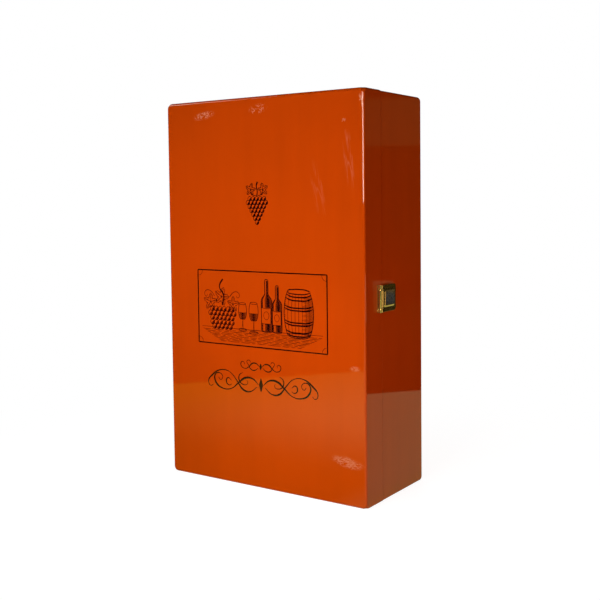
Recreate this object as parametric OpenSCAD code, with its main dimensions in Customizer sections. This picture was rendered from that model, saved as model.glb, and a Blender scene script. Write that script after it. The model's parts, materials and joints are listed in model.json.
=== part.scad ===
// Hinged two-bottle wine box in lacquered board, standing upright
// X runs right, Y runs to the back and Z runs up, in millimetres
// The origin is the middle of the outline that the closed box stands on

/* [Carcass] */
// Width of the lid, over its two sides
box_w = 215; // [205:1:260]
// Height of the lid
box_h = 350; // [340:1:400]
// Depth of the closed box, front to back
box_d = 102; // [98:1:130]
// Depth of the lid, from the front face to the seam
lid_depth = 28; // [24:1:40]
// Thickness of the lid's four walls
wall_t = 11.5; // [10.5:0.5:15]
// Thickness of the front panel and of the back panel
panel_t = 9; // [6:0.5:11]
// How far the lid stands out past the base at its sides and top
lid_reveal = 0.4; // [0.2:0.1:0.8]
// Gap between the two rims at the seam
seam_gap = 0.2; // [0.1:0.05:0.4]
// Radius of the front's upright edges and of the edges that run from front to back
edge_r = 2; // [1:0.25:4]
// Radius of the front's edges along its top and bottom
level_edge_r = 3; // [1:0.25:4.5]
// Radius of the back's upright edges
back_edge_r = 2.5; // [1:0.25:4]
// Radius of the back's edges along its top and bottom
back_level_edge_r = 3.5; // [1:0.25:4.5]
// Radius to which the eight outer corners are rubbed round
corner_rub_r = 5; // [3:0.25:6]
// Chamfer on the outer edge of each rim
seam_ease = 0.4; // [0.2:0.1:1]

/* [Lining] */
// Thickness of the covered boards that line the box
lining_t = 2; // [1.5:0.25:3]
// How far the base's lining stands up past its rim, as a lip inside the lid
lip_h = 2.5; // [1.5:0.5:4]
// Gap between that lip and the inside of the lid
lip_clear = 0.5; // [0.3:0.1:1]
// Thickness of the divider between the bottles
divider_t = 8; // [5:0.5:12]
// How far the divider stands out from the back lining
divider_rise = 45; // [30:1:55]
// Thickness of the lid's cushion
cushion_t = 5; // [3:0.5:6]
// Thickness of the board behind the cushion
cushion_board_t = 1; // [0.8:0.1:1.5]
// Gap round the cushion, between it and the lining
cushion_clear = 0.3; // [0.3:0.1:1]

/* [Bottles] */
// Diameter of the bottles
bottle_d = 75; // [68:1:80]
// Height of the bottles
bottle_h = 300; // [285:1:312]
// Diameter of the bottles at the neck cradle
neck_d = 30; // [26:1:34]
// Gap between a bottle and its cradle
bottle_clear = 0.5; // [0.3:0.1:1]
// Width of each cradle, along the bottle
cradle_w = 18; // [12:1:24]
// How far a body cradle stands out from the back lining
cradle_rise = 26; // [18:1:30]
// Thickness of a cradle under the bottle's body
cradle_web = 1.5; // [1:0.25:3]
// Height of the lower body cradle's middle above the bottom lining
lower_cradle_z = 45; // [30:1:60]
// Height of the upper body cradle's middle above the bottom lining
upper_cradle_z = 150; // [110:1:180]
// Depth of the neck cradle's middle below the top of the bottle
neck_cradle_drop = 38; // [25:1:50]

/* [Hinges] */
// Length of each hinge
hinge_len = 32; // [25:1:40]
// Distance from each end of the box to the middle of the hinge near it
hinge_inset = 70; // [45:1:100]
// Depth of the hinge axis behind the lid's side face
hinge_axis_in = 2; // [1.5:0.25:2.5]
// Radius of the knuckles
hinge_knuckle_r = 2.2; // [2:0.1:2.5]
// Thickness of the leaves
hinge_leaf_t = 0.9; // [0.7:0.1:1.2]
// Width of each leaf, from the axis to its free edge
hinge_leaf_w = 8; // [7.5:0.25:8.5]
// Radius of the hinge pin
hinge_pin_r = 0.8; // [0.6:0.1:1]
// Radius of the hinge screws' heads
hinge_head_r = 1.8; // [1.5:0.1:2]
// Radius of the hinge screws' shanks
hinge_shank_r = 1; // [0.8:0.1:1.2]
// Length of the hinge screws
hinge_screw_len = 9; // [7:0.5:12]
// Angle that the lid opens to, in degrees
lid_open = 100; // [90:1:110]

/* [Latch] */
// Height of the latch
latch_h = 23; // [20:0.5:28]
// Thickness of the latch's sheet metal
latch_t = 0.8; // [0.6:0.1:1]
// Distance from the seam forward to the latch's barrel
latch_axis_fwd = 6.5; // [6.25:0.25:8]
// Height of the barrel's axis above the side of the lid
latch_axis_up = 2.2; // [2.2:0.1:2.6]
// Radius of the latch's barrel
latch_barrel_r = 2; // [1.8:0.1:2]
// Radius of the latch's pin
latch_pin_r = 0.7; // [0.5:0.1:0.9]
// Length of each fixed knuckle
latch_end_len = 2.8; // [2:0.2:4]
// Gap between a fixed knuckle and the hasp's own
latch_knuckle_gap = 1; // [0.5:0.1:1.2]
// How far the hasp reaches past the seam
hasp_reach = 19; // [17:0.5:24]
// Radius of the hasp's free corners
hasp_corner_r = 3; // [2:0.25:4]
// Height of the hasp's raised panel above its rim
hasp_raise = 1; // [0.6:0.1:1.4]
// Width of the hasp's rim at its top and at its free end
hasp_rim = 3; // [2:0.25:4]
// Width of the hasp's rim at its bottom
hasp_foot_rim = 4; // [3:0.25:5]
// Distance from the seam back to the catch's nose
catch_nose_back = 12; // [11:0.5:13]
// Radius of the catch's nose
catch_nose_r = 1; // [0.8:0.1:1.2]
// Length of the catch's nose
catch_nose_len = 8; // [6:0.5:10]
// Radius of the latch screws' heads
latch_head_r = 1.5; // [1.2:0.1:1.6]
// Radius of the latch screws' shanks
latch_shank_r = 0.8; // [0.6:0.1:1]
// Length of the latch screws
latch_screw_len = 7; // [5:0.5:9]

/* [Fits] */
// Radial clearance of a pin in a knuckle that turns on it
run_fit = 0.05; // [0.03:0.01:0.08]
// Radial interference of a pin in a knuckle that holds it
press_fit = 0.02; // [0.01:0.01:0.03]
// Clearance round screws and let-in hardware
seat_fit = 0.05; // [0.03:0.01:0.1]
// Gap between turning metal and what it passes
swing_fit = 0.3; // [0.25:0.05:0.4]

/* [Hidden] */
$fn = 48;

LACQUER = [0.74, 0.24, 0.02];
VELVET = [0.82, 0.72, 0.55];
SATIN = [0.90, 0.83, 0.68];
CARD = [0.60, 0.50, 0.38];
BRASS = [0.80, 0.62, 0.25];

// Sides of the box, counted round from the bottom as seen from the front
BOTTOM = 0;
LATCH = 1;
TOP = 2;
HINGE = 3;

// Which body a hinge leaf or a screw belongs to, as the sign of its Y side
LID = -1;
BASE = 1;

eps = 1;
half_w = box_w / 2;
front_y = -box_d / 2;
back_y = box_d / 2;
seam_y = front_y + lid_depth;
lid_rim_y = seam_y - seam_gap / 2;
base_rim_y = seam_y + seam_gap / 2;
base_half_w = half_w - lid_reveal;
base_top_z = box_h - lid_reveal;

// Inside faces of the lid's walls and of the base's, which the lip separates
lid_in_x = half_w - wall_t;
lid_in_z = [wall_t, box_h - wall_t];
lid_in_y = front_y + panel_t;
base_in_x = lid_in_x - lip_clear;
base_in_z = [wall_t + lip_clear, box_h - wall_t - lip_clear];
base_in_y = back_y - panel_t;

// Faces of the linings
lined_x = base_in_x - lining_t;
lined_z = [base_in_z[0] + lining_t, base_in_z[1] - lining_t];
lined_y = base_in_y - lining_t;
lip_y = base_rim_y - lip_h;
lid_lining_y = lip_y - lip_clear;
lid_lined_x = lid_in_x - lining_t;
lid_lined_z = [lid_in_z[0] + lining_t, lid_in_z[1] - lining_t];

// Bottles and their bays
bay_w = lined_x - divider_t / 2;
bay_x = divider_t / 2 + bay_w / 2;
bottle_r = bottle_d / 2 + bottle_clear;
neck_r = neck_d / 2 + bottle_clear;
bottle_y = lined_y - cradle_web - bottle_r;
neck_cradle_z = lined_z[0] + bottle_h - neck_cradle_drop;

// Hinges
hinge_x = -half_w + hinge_axis_in;
hinge_z = [hinge_inset, box_h - hinge_inset];
hinge_knuckles = 5;
knuckle_len = hinge_len / hinge_knuckles;
knuckle_play = 0.2;
stop_play = 2;
bevel_angle = (lid_open + stop_play) / 2;
hinge_screw_x = (hinge_knuckle_r + swing_fit + hinge_leaf_w) / 2;
hinge_screw_pitch = hinge_len / 3;

// Latch, with u measured back from the seam and w out from the side of the lid
latch_z = box_h / 2;
latch_axis_u = -latch_axis_fwd;
latch_edge_u = latch_axis_u - latch_barrel_r - swing_fit;
latch_plate_end = -(seam_gap / 2 + seam_ease + 0.1);
latch_groove_u = latch_axis_u + latch_barrel_r;
latch_screw_u = (latch_groove_u + latch_plate_end) / 2;
latch_mid_len = latch_h - 2 * latch_end_len - 2 * latch_knuckle_gap;
latch_screw_v = latch_mid_len * 0.36;
hasp_w = latch_axis_up + 0.2;
hasp_start = latch_axis_u + latch_barrel_r + swing_fit;
hasp_hinge_rim = 1;
catch_start = seam_gap / 2 + seam_ease + 0.3;
catch_end = hasp_reach - hasp_rim;
catch_h = latch_h - 2 * hasp_rim;
catch_screw_u = (catch_start + catch_nose_back - catch_nose_r) / 2;
catch_screw_v = catch_h * 0.3;
catch_corner_r = 1.5;
tongue_t = 1.2;

// A block between two corners
module span(lo, hi) {
    translate(lo) cube(hi - lo);
}

// Cutter that rounds a square corner at the origin, whose body lies towards plus x and plus y
module round_cut(r) {
    difference() {
        translate([-eps, -eps]) square(r + eps);
        translate([r, r]) circle(r);
    }
}

// Cutter that chamfers the same corner
module chamfer_cut(c) {
    polygon([[-eps, -eps], [c + eps, -eps], [-eps, c + eps]]);
}

// Puts a corner cutter at each end of the line from a to b, facing into the middle of the line
module both_ends(a, b, y, up) {
    translate([a, y]) mirror([0, up ? 0 : 1]) children();
    translate([b, y]) mirror([1, 0]) mirror([0, up ? 0 : 1]) children();
}

// Outline seen along a rim: rounded where the outer panel is, chamfered where the rim is
// low and high are the ends across the outline, panel_at and rim_at its ends along Y
module shell_outline(low, high, panel_at, rim_at, r) {
    opens_back = rim_at > panel_at;
    difference() {
        translate([low, min(panel_at, rim_at)]) square([high - low, abs(rim_at - panel_at)]);
        both_ends(low, high, panel_at, opens_back) round_cut(r);
        both_ends(low, high, rim_at, !opens_back) chamfer_cut(seam_ease);
    }
}

// Outline seen from the front, with four rounded corners
module front_outline(half, top) {
    difference() {
        translate([-half, 0]) square([2 * half, top]);
        both_ends(-half, half, 0, true) round_cut(edge_r);
        both_ends(-half, half, top, false) round_cut(edge_r);
    }
}

// Cutter that rubs an outer corner at the origin, whose body lies towards plus x, y and z
// edge is the radius of the upright edge that ends there
module rubbed_corner(edge) {
    in = edge * (1 - cos(45));
    translate([in, in, 0]) rotate([90, 0, 45]) linear_extrude(4 * corner_rub_r, center = true)
        round_cut(corner_rub_r);
}

// Whole outer form of the lid or of the base
// upright_r and level_r are the radii of its panel's edges
module shell_form(half, top, panel_at, rim_at, upright_r, level_r) {
    y_low = min(panel_at, rim_at);
    y_high = max(panel_at, rim_at);
    difference() {
        intersection() {
            linear_extrude(top) shell_outline(-half, half, panel_at, rim_at, upright_r);
            translate([-half, 0, 0]) rotate([90, 0, 90]) mirror([1, -1])
                linear_extrude(2 * half) shell_outline(0, top, panel_at, rim_at, level_r);
            translate([0, y_high, 0]) rotate([90, 0, 0])
                linear_extrude(y_high - y_low) front_outline(half, top);
        }
        for (side = [0, 1], end = [0, 1])
            translate([(2 * side - 1) * half, panel_at, end * top])
                mirror([side, 0, 0]) mirror([0, panel_at > rim_at ? 1 : 0, 0]) mirror([0, 0, end])
                    rubbed_corner(upright_r);
    }
}

module lid_form() {
    shell_form(half_w, box_h, front_y, lid_rim_y, edge_r, level_edge_r);
}

module base_form() {
    shell_form(base_half_w, base_top_z, back_y, base_rim_y, back_edge_r, back_level_edge_r);
}

function corners(half, z_low, z_high) = [[-half, z_low], [half, z_low], [half, z_high], [-half, z_high]];

// One side of a mitred frame, from y_low to y_high
module mitred_side(side, outer, inner, y_low, y_high) {
    next = (side + 1) % 4;
    translate([0, y_high, 0]) rotate([90, 0, 0]) linear_extrude(y_high - y_low)
        polygon([outer[side], outer[next], inner[next], inner[side]]);
}

// Bevel outside the hinge axis, which meets the other rim's bevel to stop the lid
module stop_bevel(body) {
    reach = hinge_axis_in + eps;
    translate([hinge_x, seam_y, -eps]) linear_extrude(box_h + 2 * eps)
        polygon([[0, 0], [-reach, body * reach * tan(bevel_angle)], [-reach, -body * eps], [0, -body * eps]]);
}

module lid_wall(side) {
    difference() {
        intersection() {
            lid_form();
            mitred_side(side, corners(half_w, 0, box_h),
                corners(lid_in_x, lid_in_z[0], lid_in_z[1]), lid_in_y, lid_rim_y);
        }
        if (side != LATCH) stop_bevel(LID);
    }
}

module base_wall(side) {
    difference() {
        intersection() {
            base_form();
            mitred_side(side, corners(base_half_w, 0, base_top_z),
                corners(base_in_x, base_in_z[0], base_in_z[1]), base_rim_y, base_in_y);
        }
        if (side != LATCH) stop_bevel(BASE);
    }
}

// Countersunk wood screw that points down, with the top of its head at the origin
// grow makes the hole for it
module screw(head_r, shank_r, length, grow = 0) {
    head_h = head_r - shank_r;
    tip_h = 2 * shank_r;
    translate([0, 0, -head_h]) cylinder(r1 = shank_r + grow, r2 = head_r + grow, h = head_h);
    translate([0, 0, tip_h - length]) cylinder(r = shank_r + grow, h = length - tip_h - head_h);
    translate([0, 0, -length]) cylinder(r1 = grow, r2 = shank_r + grow, h = tip_h);
    if (grow > 0) cylinder(r = head_r + grow, h = eps);
}

// Cross recess of a screw head
module cross_recess(head_r, depth) {
    slot = head_r * 0.3;
    for (turn = [0, 90]) rotate(turn) span([-head_r * 0.6, -slot / 2, -depth], [head_r * 0.6, slot / 2, eps]);
}

module at_hinges() {
    for (z = hinge_z) translate([hinge_x, seam_y, z]) children();
}

// Places of the three screws in one hinge leaf, with the screw pointing into the wood
module at_hinge_screws(body) {
    for (step = [-1:1])
        translate([hinge_screw_x, body * seam_gap / 2, step * hinge_screw_pitch])
            rotate([body * 90, 0, 0]) children();
}

module hinge_screw_holes(body) {
    at_hinges() at_hinge_screws(body) screw(hinge_head_r, hinge_shank_r, hinge_screw_len, seat_fit);
}

module hinge_screws(body) {
    at_hinges() at_hinge_screws(body) difference() {
        screw(hinge_head_r, hinge_shank_r, hinge_screw_len);
        cross_recess(hinge_head_r, hinge_head_r - hinge_shank_r);
    }
}

// Pocket in a rim for a hinge leaf and for both leaves' knuckles
module hinge_pockets(body) {
    half_len = hinge_len / 2 + seat_fit;
    at_hinges() {
        translate([0, 0, -half_len]) cylinder(r = hinge_knuckle_r + swing_fit, h = 2 * half_len);
        translate([0, 0, -half_len]) linear_extrude(2 * half_len)
            polygon([
                [0, -body * eps], [hinge_leaf_w + seat_fit, -body * eps],
                [hinge_leaf_w + seat_fit, body * (seam_gap / 2 + hinge_leaf_t)],
                [0, body * (seam_gap / 2 + hinge_leaf_t)]
            ]);
    }
}

// Leaf section, flat side to the seam, from x_low to its free edge
module leaf_section(body, x_low) {
    y = body * seam_gap / 2;
    translate([x_low, min(y, y + body * hinge_leaf_t)]) square([hinge_leaf_w - x_low, hinge_leaf_t]);
}

// One hinge leaf with its knuckles, about its own axis
module hinge_leaf(body) {
    first = body == BASE ? 0 : 1;
    bore_r = body == BASE ? hinge_pin_r - press_fit : hinge_pin_r + run_fit;
    difference() {
        union() {
            translate([0, 0, -hinge_len / 2]) linear_extrude(hinge_len)
                leaf_section(body, hinge_knuckle_r + swing_fit);
            for (k = [first:2:hinge_knuckles - 1])
                translate([0, 0, k * knuckle_len - hinge_len / 2 + knuckle_play / 2])
                    linear_extrude(knuckle_len - knuckle_play) {
                        circle(hinge_knuckle_r);
                        leaf_section(body, 0);
                    }
        }
        cylinder(r = bore_r, h = hinge_len + eps, center = true);
        at_hinge_screws(body) screw(hinge_head_r, hinge_shank_r, hinge_screw_len, seat_fit);
    }
}

module at_hinge(index) {
    translate([hinge_x, seam_y, hinge_z[index]]) children();
}

module hinge_pin() {
    cylinder(r = hinge_pin_r, h = hinge_len - knuckle_play, center = true);
}

// Frame of the latch: x back from the seam, y up from its middle, z out from the side of the lid
module on_latch() {
    translate([half_w, seam_y, latch_z]) rotate([90, 0, 90]) children();
}

// Bar or hole of radius r and length len about the barrel's axis, at height v
module barrel(r, len, v = 0) {
    translate([latch_axis_u, v, latch_axis_up]) rotate([90, 0, 0]) cylinder(r = r, h = len, center = true);
}

module at_lid_plate_screws() {
    for (v = [-latch_screw_v, latch_screw_v]) translate([latch_screw_u, v, latch_t]) children();
}

module at_catch_screws() {
    for (v = [-catch_screw_v, catch_screw_v]) translate([catch_screw_u, v, latch_t - lid_reveal]) children();
}

module latch_screw_hole() {
    screw(latch_head_r, latch_shank_r, latch_screw_len, seat_fit);
}

module latch_screw() {
    difference() {
        screw(latch_head_r, latch_shank_r, latch_screw_len);
        cross_recess(latch_head_r, latch_head_r - latch_shank_r);
    }
}

// Plate with rounded corners, of thickness t
module rounded_plate(lo, hi, r_near, r_far, t) {
    linear_extrude(t) difference() {
        translate(lo) square(hi - lo);
        translate(lo) round_cut(r_near);
        translate([lo[0], hi[1]]) mirror([0, 1]) round_cut(r_near);
        translate([hi[0], lo[1]]) mirror([1, 0]) round_cut(r_far);
        translate(hi) mirror([1, 0]) mirror([0, 1]) round_cut(r_far);
    }
}

// Raised panel with sloping sides, from height w, rising by the hasp's raise
module pillow(lo, hi, w) {
    corner = 1.5;
    foot = 0.2;
    slope = hasp_raise;
    hull() {
        for (x = [lo[0] + corner, hi[0] - corner], y = [lo[1] + corner, hi[1] - corner])
            translate([x, y, w - foot]) cylinder(r = corner, h = foot, $fn = 32);
        for (x = [lo[0] + corner + slope, hi[0] - corner - slope],
             y = [lo[1] + corner + slope, hi[1] - corner - slope])
            translate([x, y, w]) cylinder(r = corner, h = hasp_raise, $fn = 32);
    }
}

// Long board in the lining of the base, along one side
module base_lining(side) {
    if (side == BOTTOM) span([-base_in_x, lip_y, base_in_z[0]], [base_in_x, lined_y, lined_z[0]]);
    if (side == TOP) span([-base_in_x, lip_y, lined_z[1]], [base_in_x, lined_y, base_in_z[1]]);
    if (side == LATCH) span([lined_x, lip_y, lined_z[0]], [base_in_x, lined_y, lined_z[1]]);
    if (side == HINGE) span([-base_in_x, lip_y, lined_z[0]], [-lined_x, lined_y, lined_z[1]]);
}

// Long board in the lining of the lid, along one side
module lid_lining(side) {
    low = [-lid_in_x, lid_in_y, lid_in_z[0]];
    high = [lid_in_x, lid_lining_y, lid_in_z[1]];
    if (side == BOTTOM) span(low, [high[0], high[1], lid_lined_z[0]]);
    if (side == TOP) span([low[0], low[1], lid_lined_z[1]], high);
    if (side == LATCH) span([lid_lined_x, low[1], lid_lined_z[0]], [high[0], high[1], lid_lined_z[1]]);
    if (side == HINGE) span([low[0], low[1], lid_lined_z[0]], [-lid_lined_x, high[1], lid_lined_z[1]]);
}

// One cradle in each bay, cut for a round of radius r, standing out to y_top
module cradle_pair(z, y_top, r) {
    for (side = [-1, 1]) translate([side * bay_x, 0, z]) difference() {
        span([-bay_w / 2, y_top, -cradle_w / 2], [bay_w / 2, lined_y, cradle_w / 2]);
        translate([0, bottle_y, 0]) cylinder(r = r, h = cradle_w + eps, center = true, $fn = 96);
    }
}

module base_back_panel() {
    color(LACQUER) intersection() {
        base_form();
        span([-half_w, base_in_y, 0], [half_w, back_y, box_h]);
    }
}

module base_bottom_wall() {
    color(LACQUER) base_wall(BOTTOM);
}

module base_latch_wall() {
    color(LACQUER) difference() {
        base_wall(LATCH);
        on_latch() at_catch_screws() latch_screw_hole();
    }
}

module base_top_wall() {
    color(LACQUER) base_wall(TOP);
}

module base_hinge_wall() {
    color(LACQUER) difference() {
        base_wall(HINGE);
        hinge_pockets(BASE);
        hinge_screw_holes(BASE);
    }
}

module base_back_lining() {
    color(VELVET) span([-base_in_x, lined_y, base_in_z[0]], [base_in_x, base_in_y, base_in_z[1]]);
}

module base_bottom_lining() {
    color(VELVET) base_lining(BOTTOM);
}

module base_latch_lining() {
    color(VELVET) base_lining(LATCH);
}

module base_top_lining() {
    color(VELVET) base_lining(TOP);
}

module base_hinge_lining() {
    color(VELVET) base_lining(HINGE);
}

module bottle_divider() {
    color(VELVET) span([-divider_t / 2, lined_y - divider_rise, lined_z[0]], [divider_t / 2, lined_y, lined_z[1]]);
}

module neck_cradles() {
    color(VELVET) cradle_pair(neck_cradle_z, bottle_y, neck_r);
}

module upper_body_cradles() {
    color(VELVET) cradle_pair(lined_z[0] + upper_cradle_z, lined_y - cradle_rise, bottle_r);
}

module lower_body_cradles() {
    color(VELVET) cradle_pair(lined_z[0] + lower_cradle_z, lined_y - cradle_rise, bottle_r);
}

module upper_hinge_base_leaf() {
    color(BRASS) at_hinge(1) hinge_leaf(BASE);
}

module lower_hinge_base_leaf() {
    color(BRASS) at_hinge(0) hinge_leaf(BASE);
}

module upper_hinge_pin() {
    color(BRASS) at_hinge(1) hinge_pin();
}

module lower_hinge_pin() {
    color(BRASS) at_hinge(0) hinge_pin();
}

module base_hinge_screws() {
    color(BRASS) hinge_screws(BASE);
}

// Plate on the base that the hasp closes over, with the nose that its tongue rides over
module latch_catch_plate() {
    color(BRASS) on_latch() difference() {
        union() {
            translate([0, 0, -lid_reveal])
                rounded_plate([catch_start, -catch_h / 2], [catch_end, catch_h / 2],
                    catch_corner_r, catch_corner_r, latch_t);
            intersection() {
                translate([catch_nose_back, 0, latch_t - lid_reveal]) rotate([90, 0, 0])
                    cylinder(r = catch_nose_r, h = catch_nose_len, center = true);
                span([0, -catch_nose_len, -lid_reveal], [hasp_reach, catch_nose_len, hasp_w]);
            }
        }
        at_catch_screws() latch_screw_hole();
    }
}

module latch_catch_screws() {
    color(BRASS) on_latch() at_catch_screws() latch_screw();
}

module lid_front_panel() {
    color(LACQUER) intersection() {
        lid_form();
        span([-half_w, front_y, 0], [half_w, lid_in_y, box_h]);
    }
}

module lid_bottom_wall() {
    color(LACQUER) lid_wall(BOTTOM);
}

module lid_latch_wall() {
    color(LACQUER) difference() {
        lid_wall(LATCH);
        on_latch() at_lid_plate_screws() latch_screw_hole();
    }
}

module lid_top_wall() {
    color(LACQUER) lid_wall(TOP);
}

module lid_hinge_wall() {
    color(LACQUER) difference() {
        lid_wall(HINGE);
        hinge_pockets(LID);
        hinge_screw_holes(LID);
    }
}

module lid_bottom_lining() {
    color(VELVET) lid_lining(BOTTOM);
}

module lid_latch_lining() {
    color(VELVET) lid_lining(LATCH);
}

module lid_top_lining() {
    color(VELVET) lid_lining(TOP);
}

module lid_hinge_lining() {
    color(VELVET) lid_lining(HINGE);
}

module lid_cushion_board() {
    color(CARD) span([cushion_clear - lid_lined_x, lid_in_y, lid_lined_z[0] + cushion_clear],
        [lid_lined_x - cushion_clear, lid_in_y + cushion_board_t, lid_lined_z[1] - cushion_clear]);
}

module lid_cushion() {
    color(SATIN) span([cushion_clear - lid_lined_x, lid_in_y + cushion_board_t, lid_lined_z[0] + cushion_clear],
        [lid_lined_x - cushion_clear, lid_in_y + cushion_board_t + cushion_t, lid_lined_z[1] - cushion_clear]);
}

module upper_hinge_lid_leaf() {
    color(BRASS) at_hinge(1) hinge_leaf(LID);
}

module lower_hinge_lid_leaf() {
    color(BRASS) at_hinge(0) hinge_leaf(LID);
}

module lid_hinge_screws() {
    color(BRASS) hinge_screws(LID);
}

// Plate on the lid with a knuckle at each end of the barrel and a slot under the hasp's knuckle
module latch_lid_plate() {
    slot_len = latch_h - 2 * latch_end_len;
    end_v = (latch_h - latch_end_len) / 2;
    color(BRASS) on_latch() difference() {
        union() {
            rounded_plate([latch_edge_u, -latch_h / 2], [latch_plate_end, latch_h / 2], 0.3, 0.3, latch_t);
            for (v = [-end_v, end_v]) {
                barrel(latch_barrel_r, latch_end_len, v);
                span([latch_axis_u - latch_barrel_r, v - latch_end_len / 2, 0],
                    [latch_axis_u, v + latch_end_len / 2, latch_axis_up]);
            }
        }
        barrel(latch_barrel_r + swing_fit, slot_len);
        barrel(latch_pin_r - press_fit, latch_h + eps);
        at_lid_plate_screws() latch_screw_hole();
    }
}

module latch_pin() {
    color(BRASS) on_latch() barrel(latch_pin_r, latch_h);
}

module latch_lid_screws() {
    color(BRASS) on_latch() at_lid_plate_screws() latch_screw();
}

// Pressed flap with a raised panel, hollow behind, with its knuckle and the tongue that meets the nose
module hasp_flap() {
    lo = [hasp_start + hasp_hinge_rim, -latch_h / 2 + hasp_foot_rim];
    hi = [hasp_reach - hasp_rim, latch_h / 2 - hasp_rim];
    tongue_w = latch_t - lid_reveal + catch_nose_r + swing_fit;
    hollow_w = hasp_w + hasp_raise;
    color(BRASS) on_latch() difference() {
        union() {
            difference() {
                union() {
                    translate([0, 0, hasp_w])
                        rounded_plate([hasp_start, -latch_h / 2], [hasp_reach, latch_h / 2],
                            0.5, hasp_corner_r, latch_t);
                    pillow(lo, hi, hasp_w + latch_t);
                }
                pillow(lo + [latch_t, latch_t], hi - [latch_t, latch_t], hasp_w);
            }
            barrel(latch_barrel_r, latch_mid_len);
            span([latch_axis_u, -latch_mid_len / 2, hasp_w],
                [hasp_start + hasp_hinge_rim, latch_mid_len / 2, hasp_w + latch_t]);
            span([catch_nose_back - tongue_t / 2, -catch_nose_len / 2, tongue_w],
                [catch_nose_back + tongue_t / 2, catch_nose_len / 2, hollow_w + latch_t / 2]);
        }
        barrel(latch_pin_r + run_fit, latch_h);
    }
}

base_back_panel();
base_bottom_wall();
base_latch_wall();
base_top_wall();
base_hinge_wall();
base_back_lining();
base_bottom_lining();
base_latch_lining();
base_top_lining();
base_hinge_lining();
bottle_divider();
neck_cradles();
upper_body_cradles();
lower_body_cradles();
upper_hinge_base_leaf();
lower_hinge_base_leaf();
upper_hinge_pin();
lower_hinge_pin();
base_hinge_screws();
latch_catch_plate();
latch_catch_screws();
lid_front_panel();
lid_bottom_wall();
lid_latch_wall();
lid_top_wall();
lid_hinge_wall();
lid_bottom_lining();
lid_latch_lining();
lid_top_lining();
lid_hinge_lining();
lid_cushion_board();
lid_cushion();
upper_hinge_lid_leaf();
lower_hinge_lid_leaf();
lid_hinge_screws();
latch_lid_plate();
latch_pin();
latch_lid_screws();
hasp_flap();
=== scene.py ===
"""Looks of a wooden wine box for two bottles.

Orange lacquered board with a dark print on the lid, a small brass hasp latch and butt
hinges, velvet covered boards inside and a padded satin panel in the lid.
"""
import json
import logging
import math
from collections.abc import Callable, Iterable
from dataclasses import dataclass, field
from enum import Enum

import bmesh
import bpy
from bpy.types import Material, Mesh, Node, NodeSocket, Object
from mathutils import Matrix, Vector


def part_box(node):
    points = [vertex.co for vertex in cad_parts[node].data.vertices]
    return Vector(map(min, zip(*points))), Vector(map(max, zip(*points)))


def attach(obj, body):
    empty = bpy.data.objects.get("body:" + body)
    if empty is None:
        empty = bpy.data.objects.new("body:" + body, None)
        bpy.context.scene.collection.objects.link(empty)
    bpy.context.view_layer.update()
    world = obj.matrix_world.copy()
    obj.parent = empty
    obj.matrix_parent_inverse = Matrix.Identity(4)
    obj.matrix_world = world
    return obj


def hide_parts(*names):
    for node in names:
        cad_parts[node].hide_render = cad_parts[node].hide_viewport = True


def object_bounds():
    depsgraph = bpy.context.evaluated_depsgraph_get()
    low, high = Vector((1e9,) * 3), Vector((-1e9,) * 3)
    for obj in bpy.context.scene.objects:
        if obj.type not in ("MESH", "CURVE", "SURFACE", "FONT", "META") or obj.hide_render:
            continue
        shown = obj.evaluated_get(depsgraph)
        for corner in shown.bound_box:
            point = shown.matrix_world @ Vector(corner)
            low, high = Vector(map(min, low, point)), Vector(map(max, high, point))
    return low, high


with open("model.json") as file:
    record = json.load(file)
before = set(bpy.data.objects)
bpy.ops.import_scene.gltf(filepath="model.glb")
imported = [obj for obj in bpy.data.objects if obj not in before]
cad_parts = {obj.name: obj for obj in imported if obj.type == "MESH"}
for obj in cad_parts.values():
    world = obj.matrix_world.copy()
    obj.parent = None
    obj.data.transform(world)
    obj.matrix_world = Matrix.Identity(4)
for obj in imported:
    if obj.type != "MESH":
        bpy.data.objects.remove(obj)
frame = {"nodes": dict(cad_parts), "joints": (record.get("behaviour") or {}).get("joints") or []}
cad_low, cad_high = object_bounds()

LOG = logging.getLogger("wine_box")
MM = 0.001

Point = tuple[float, float]
PenPoint = tuple[float, float, float]
Colour = tuple[float, float, float, float]


class Body(Enum):
    """The moving bodies of the box."""

    BASE = "base"
    LID = "lid"
    HASP = "hasp"


class Slot(Enum):
    """The finish slots that the record names."""

    BOARD = "lacquered_board"
    VELVET = "velvet"
    SATIN = "satin"
    CARD = "card"
    BRASS = "brass"


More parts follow.
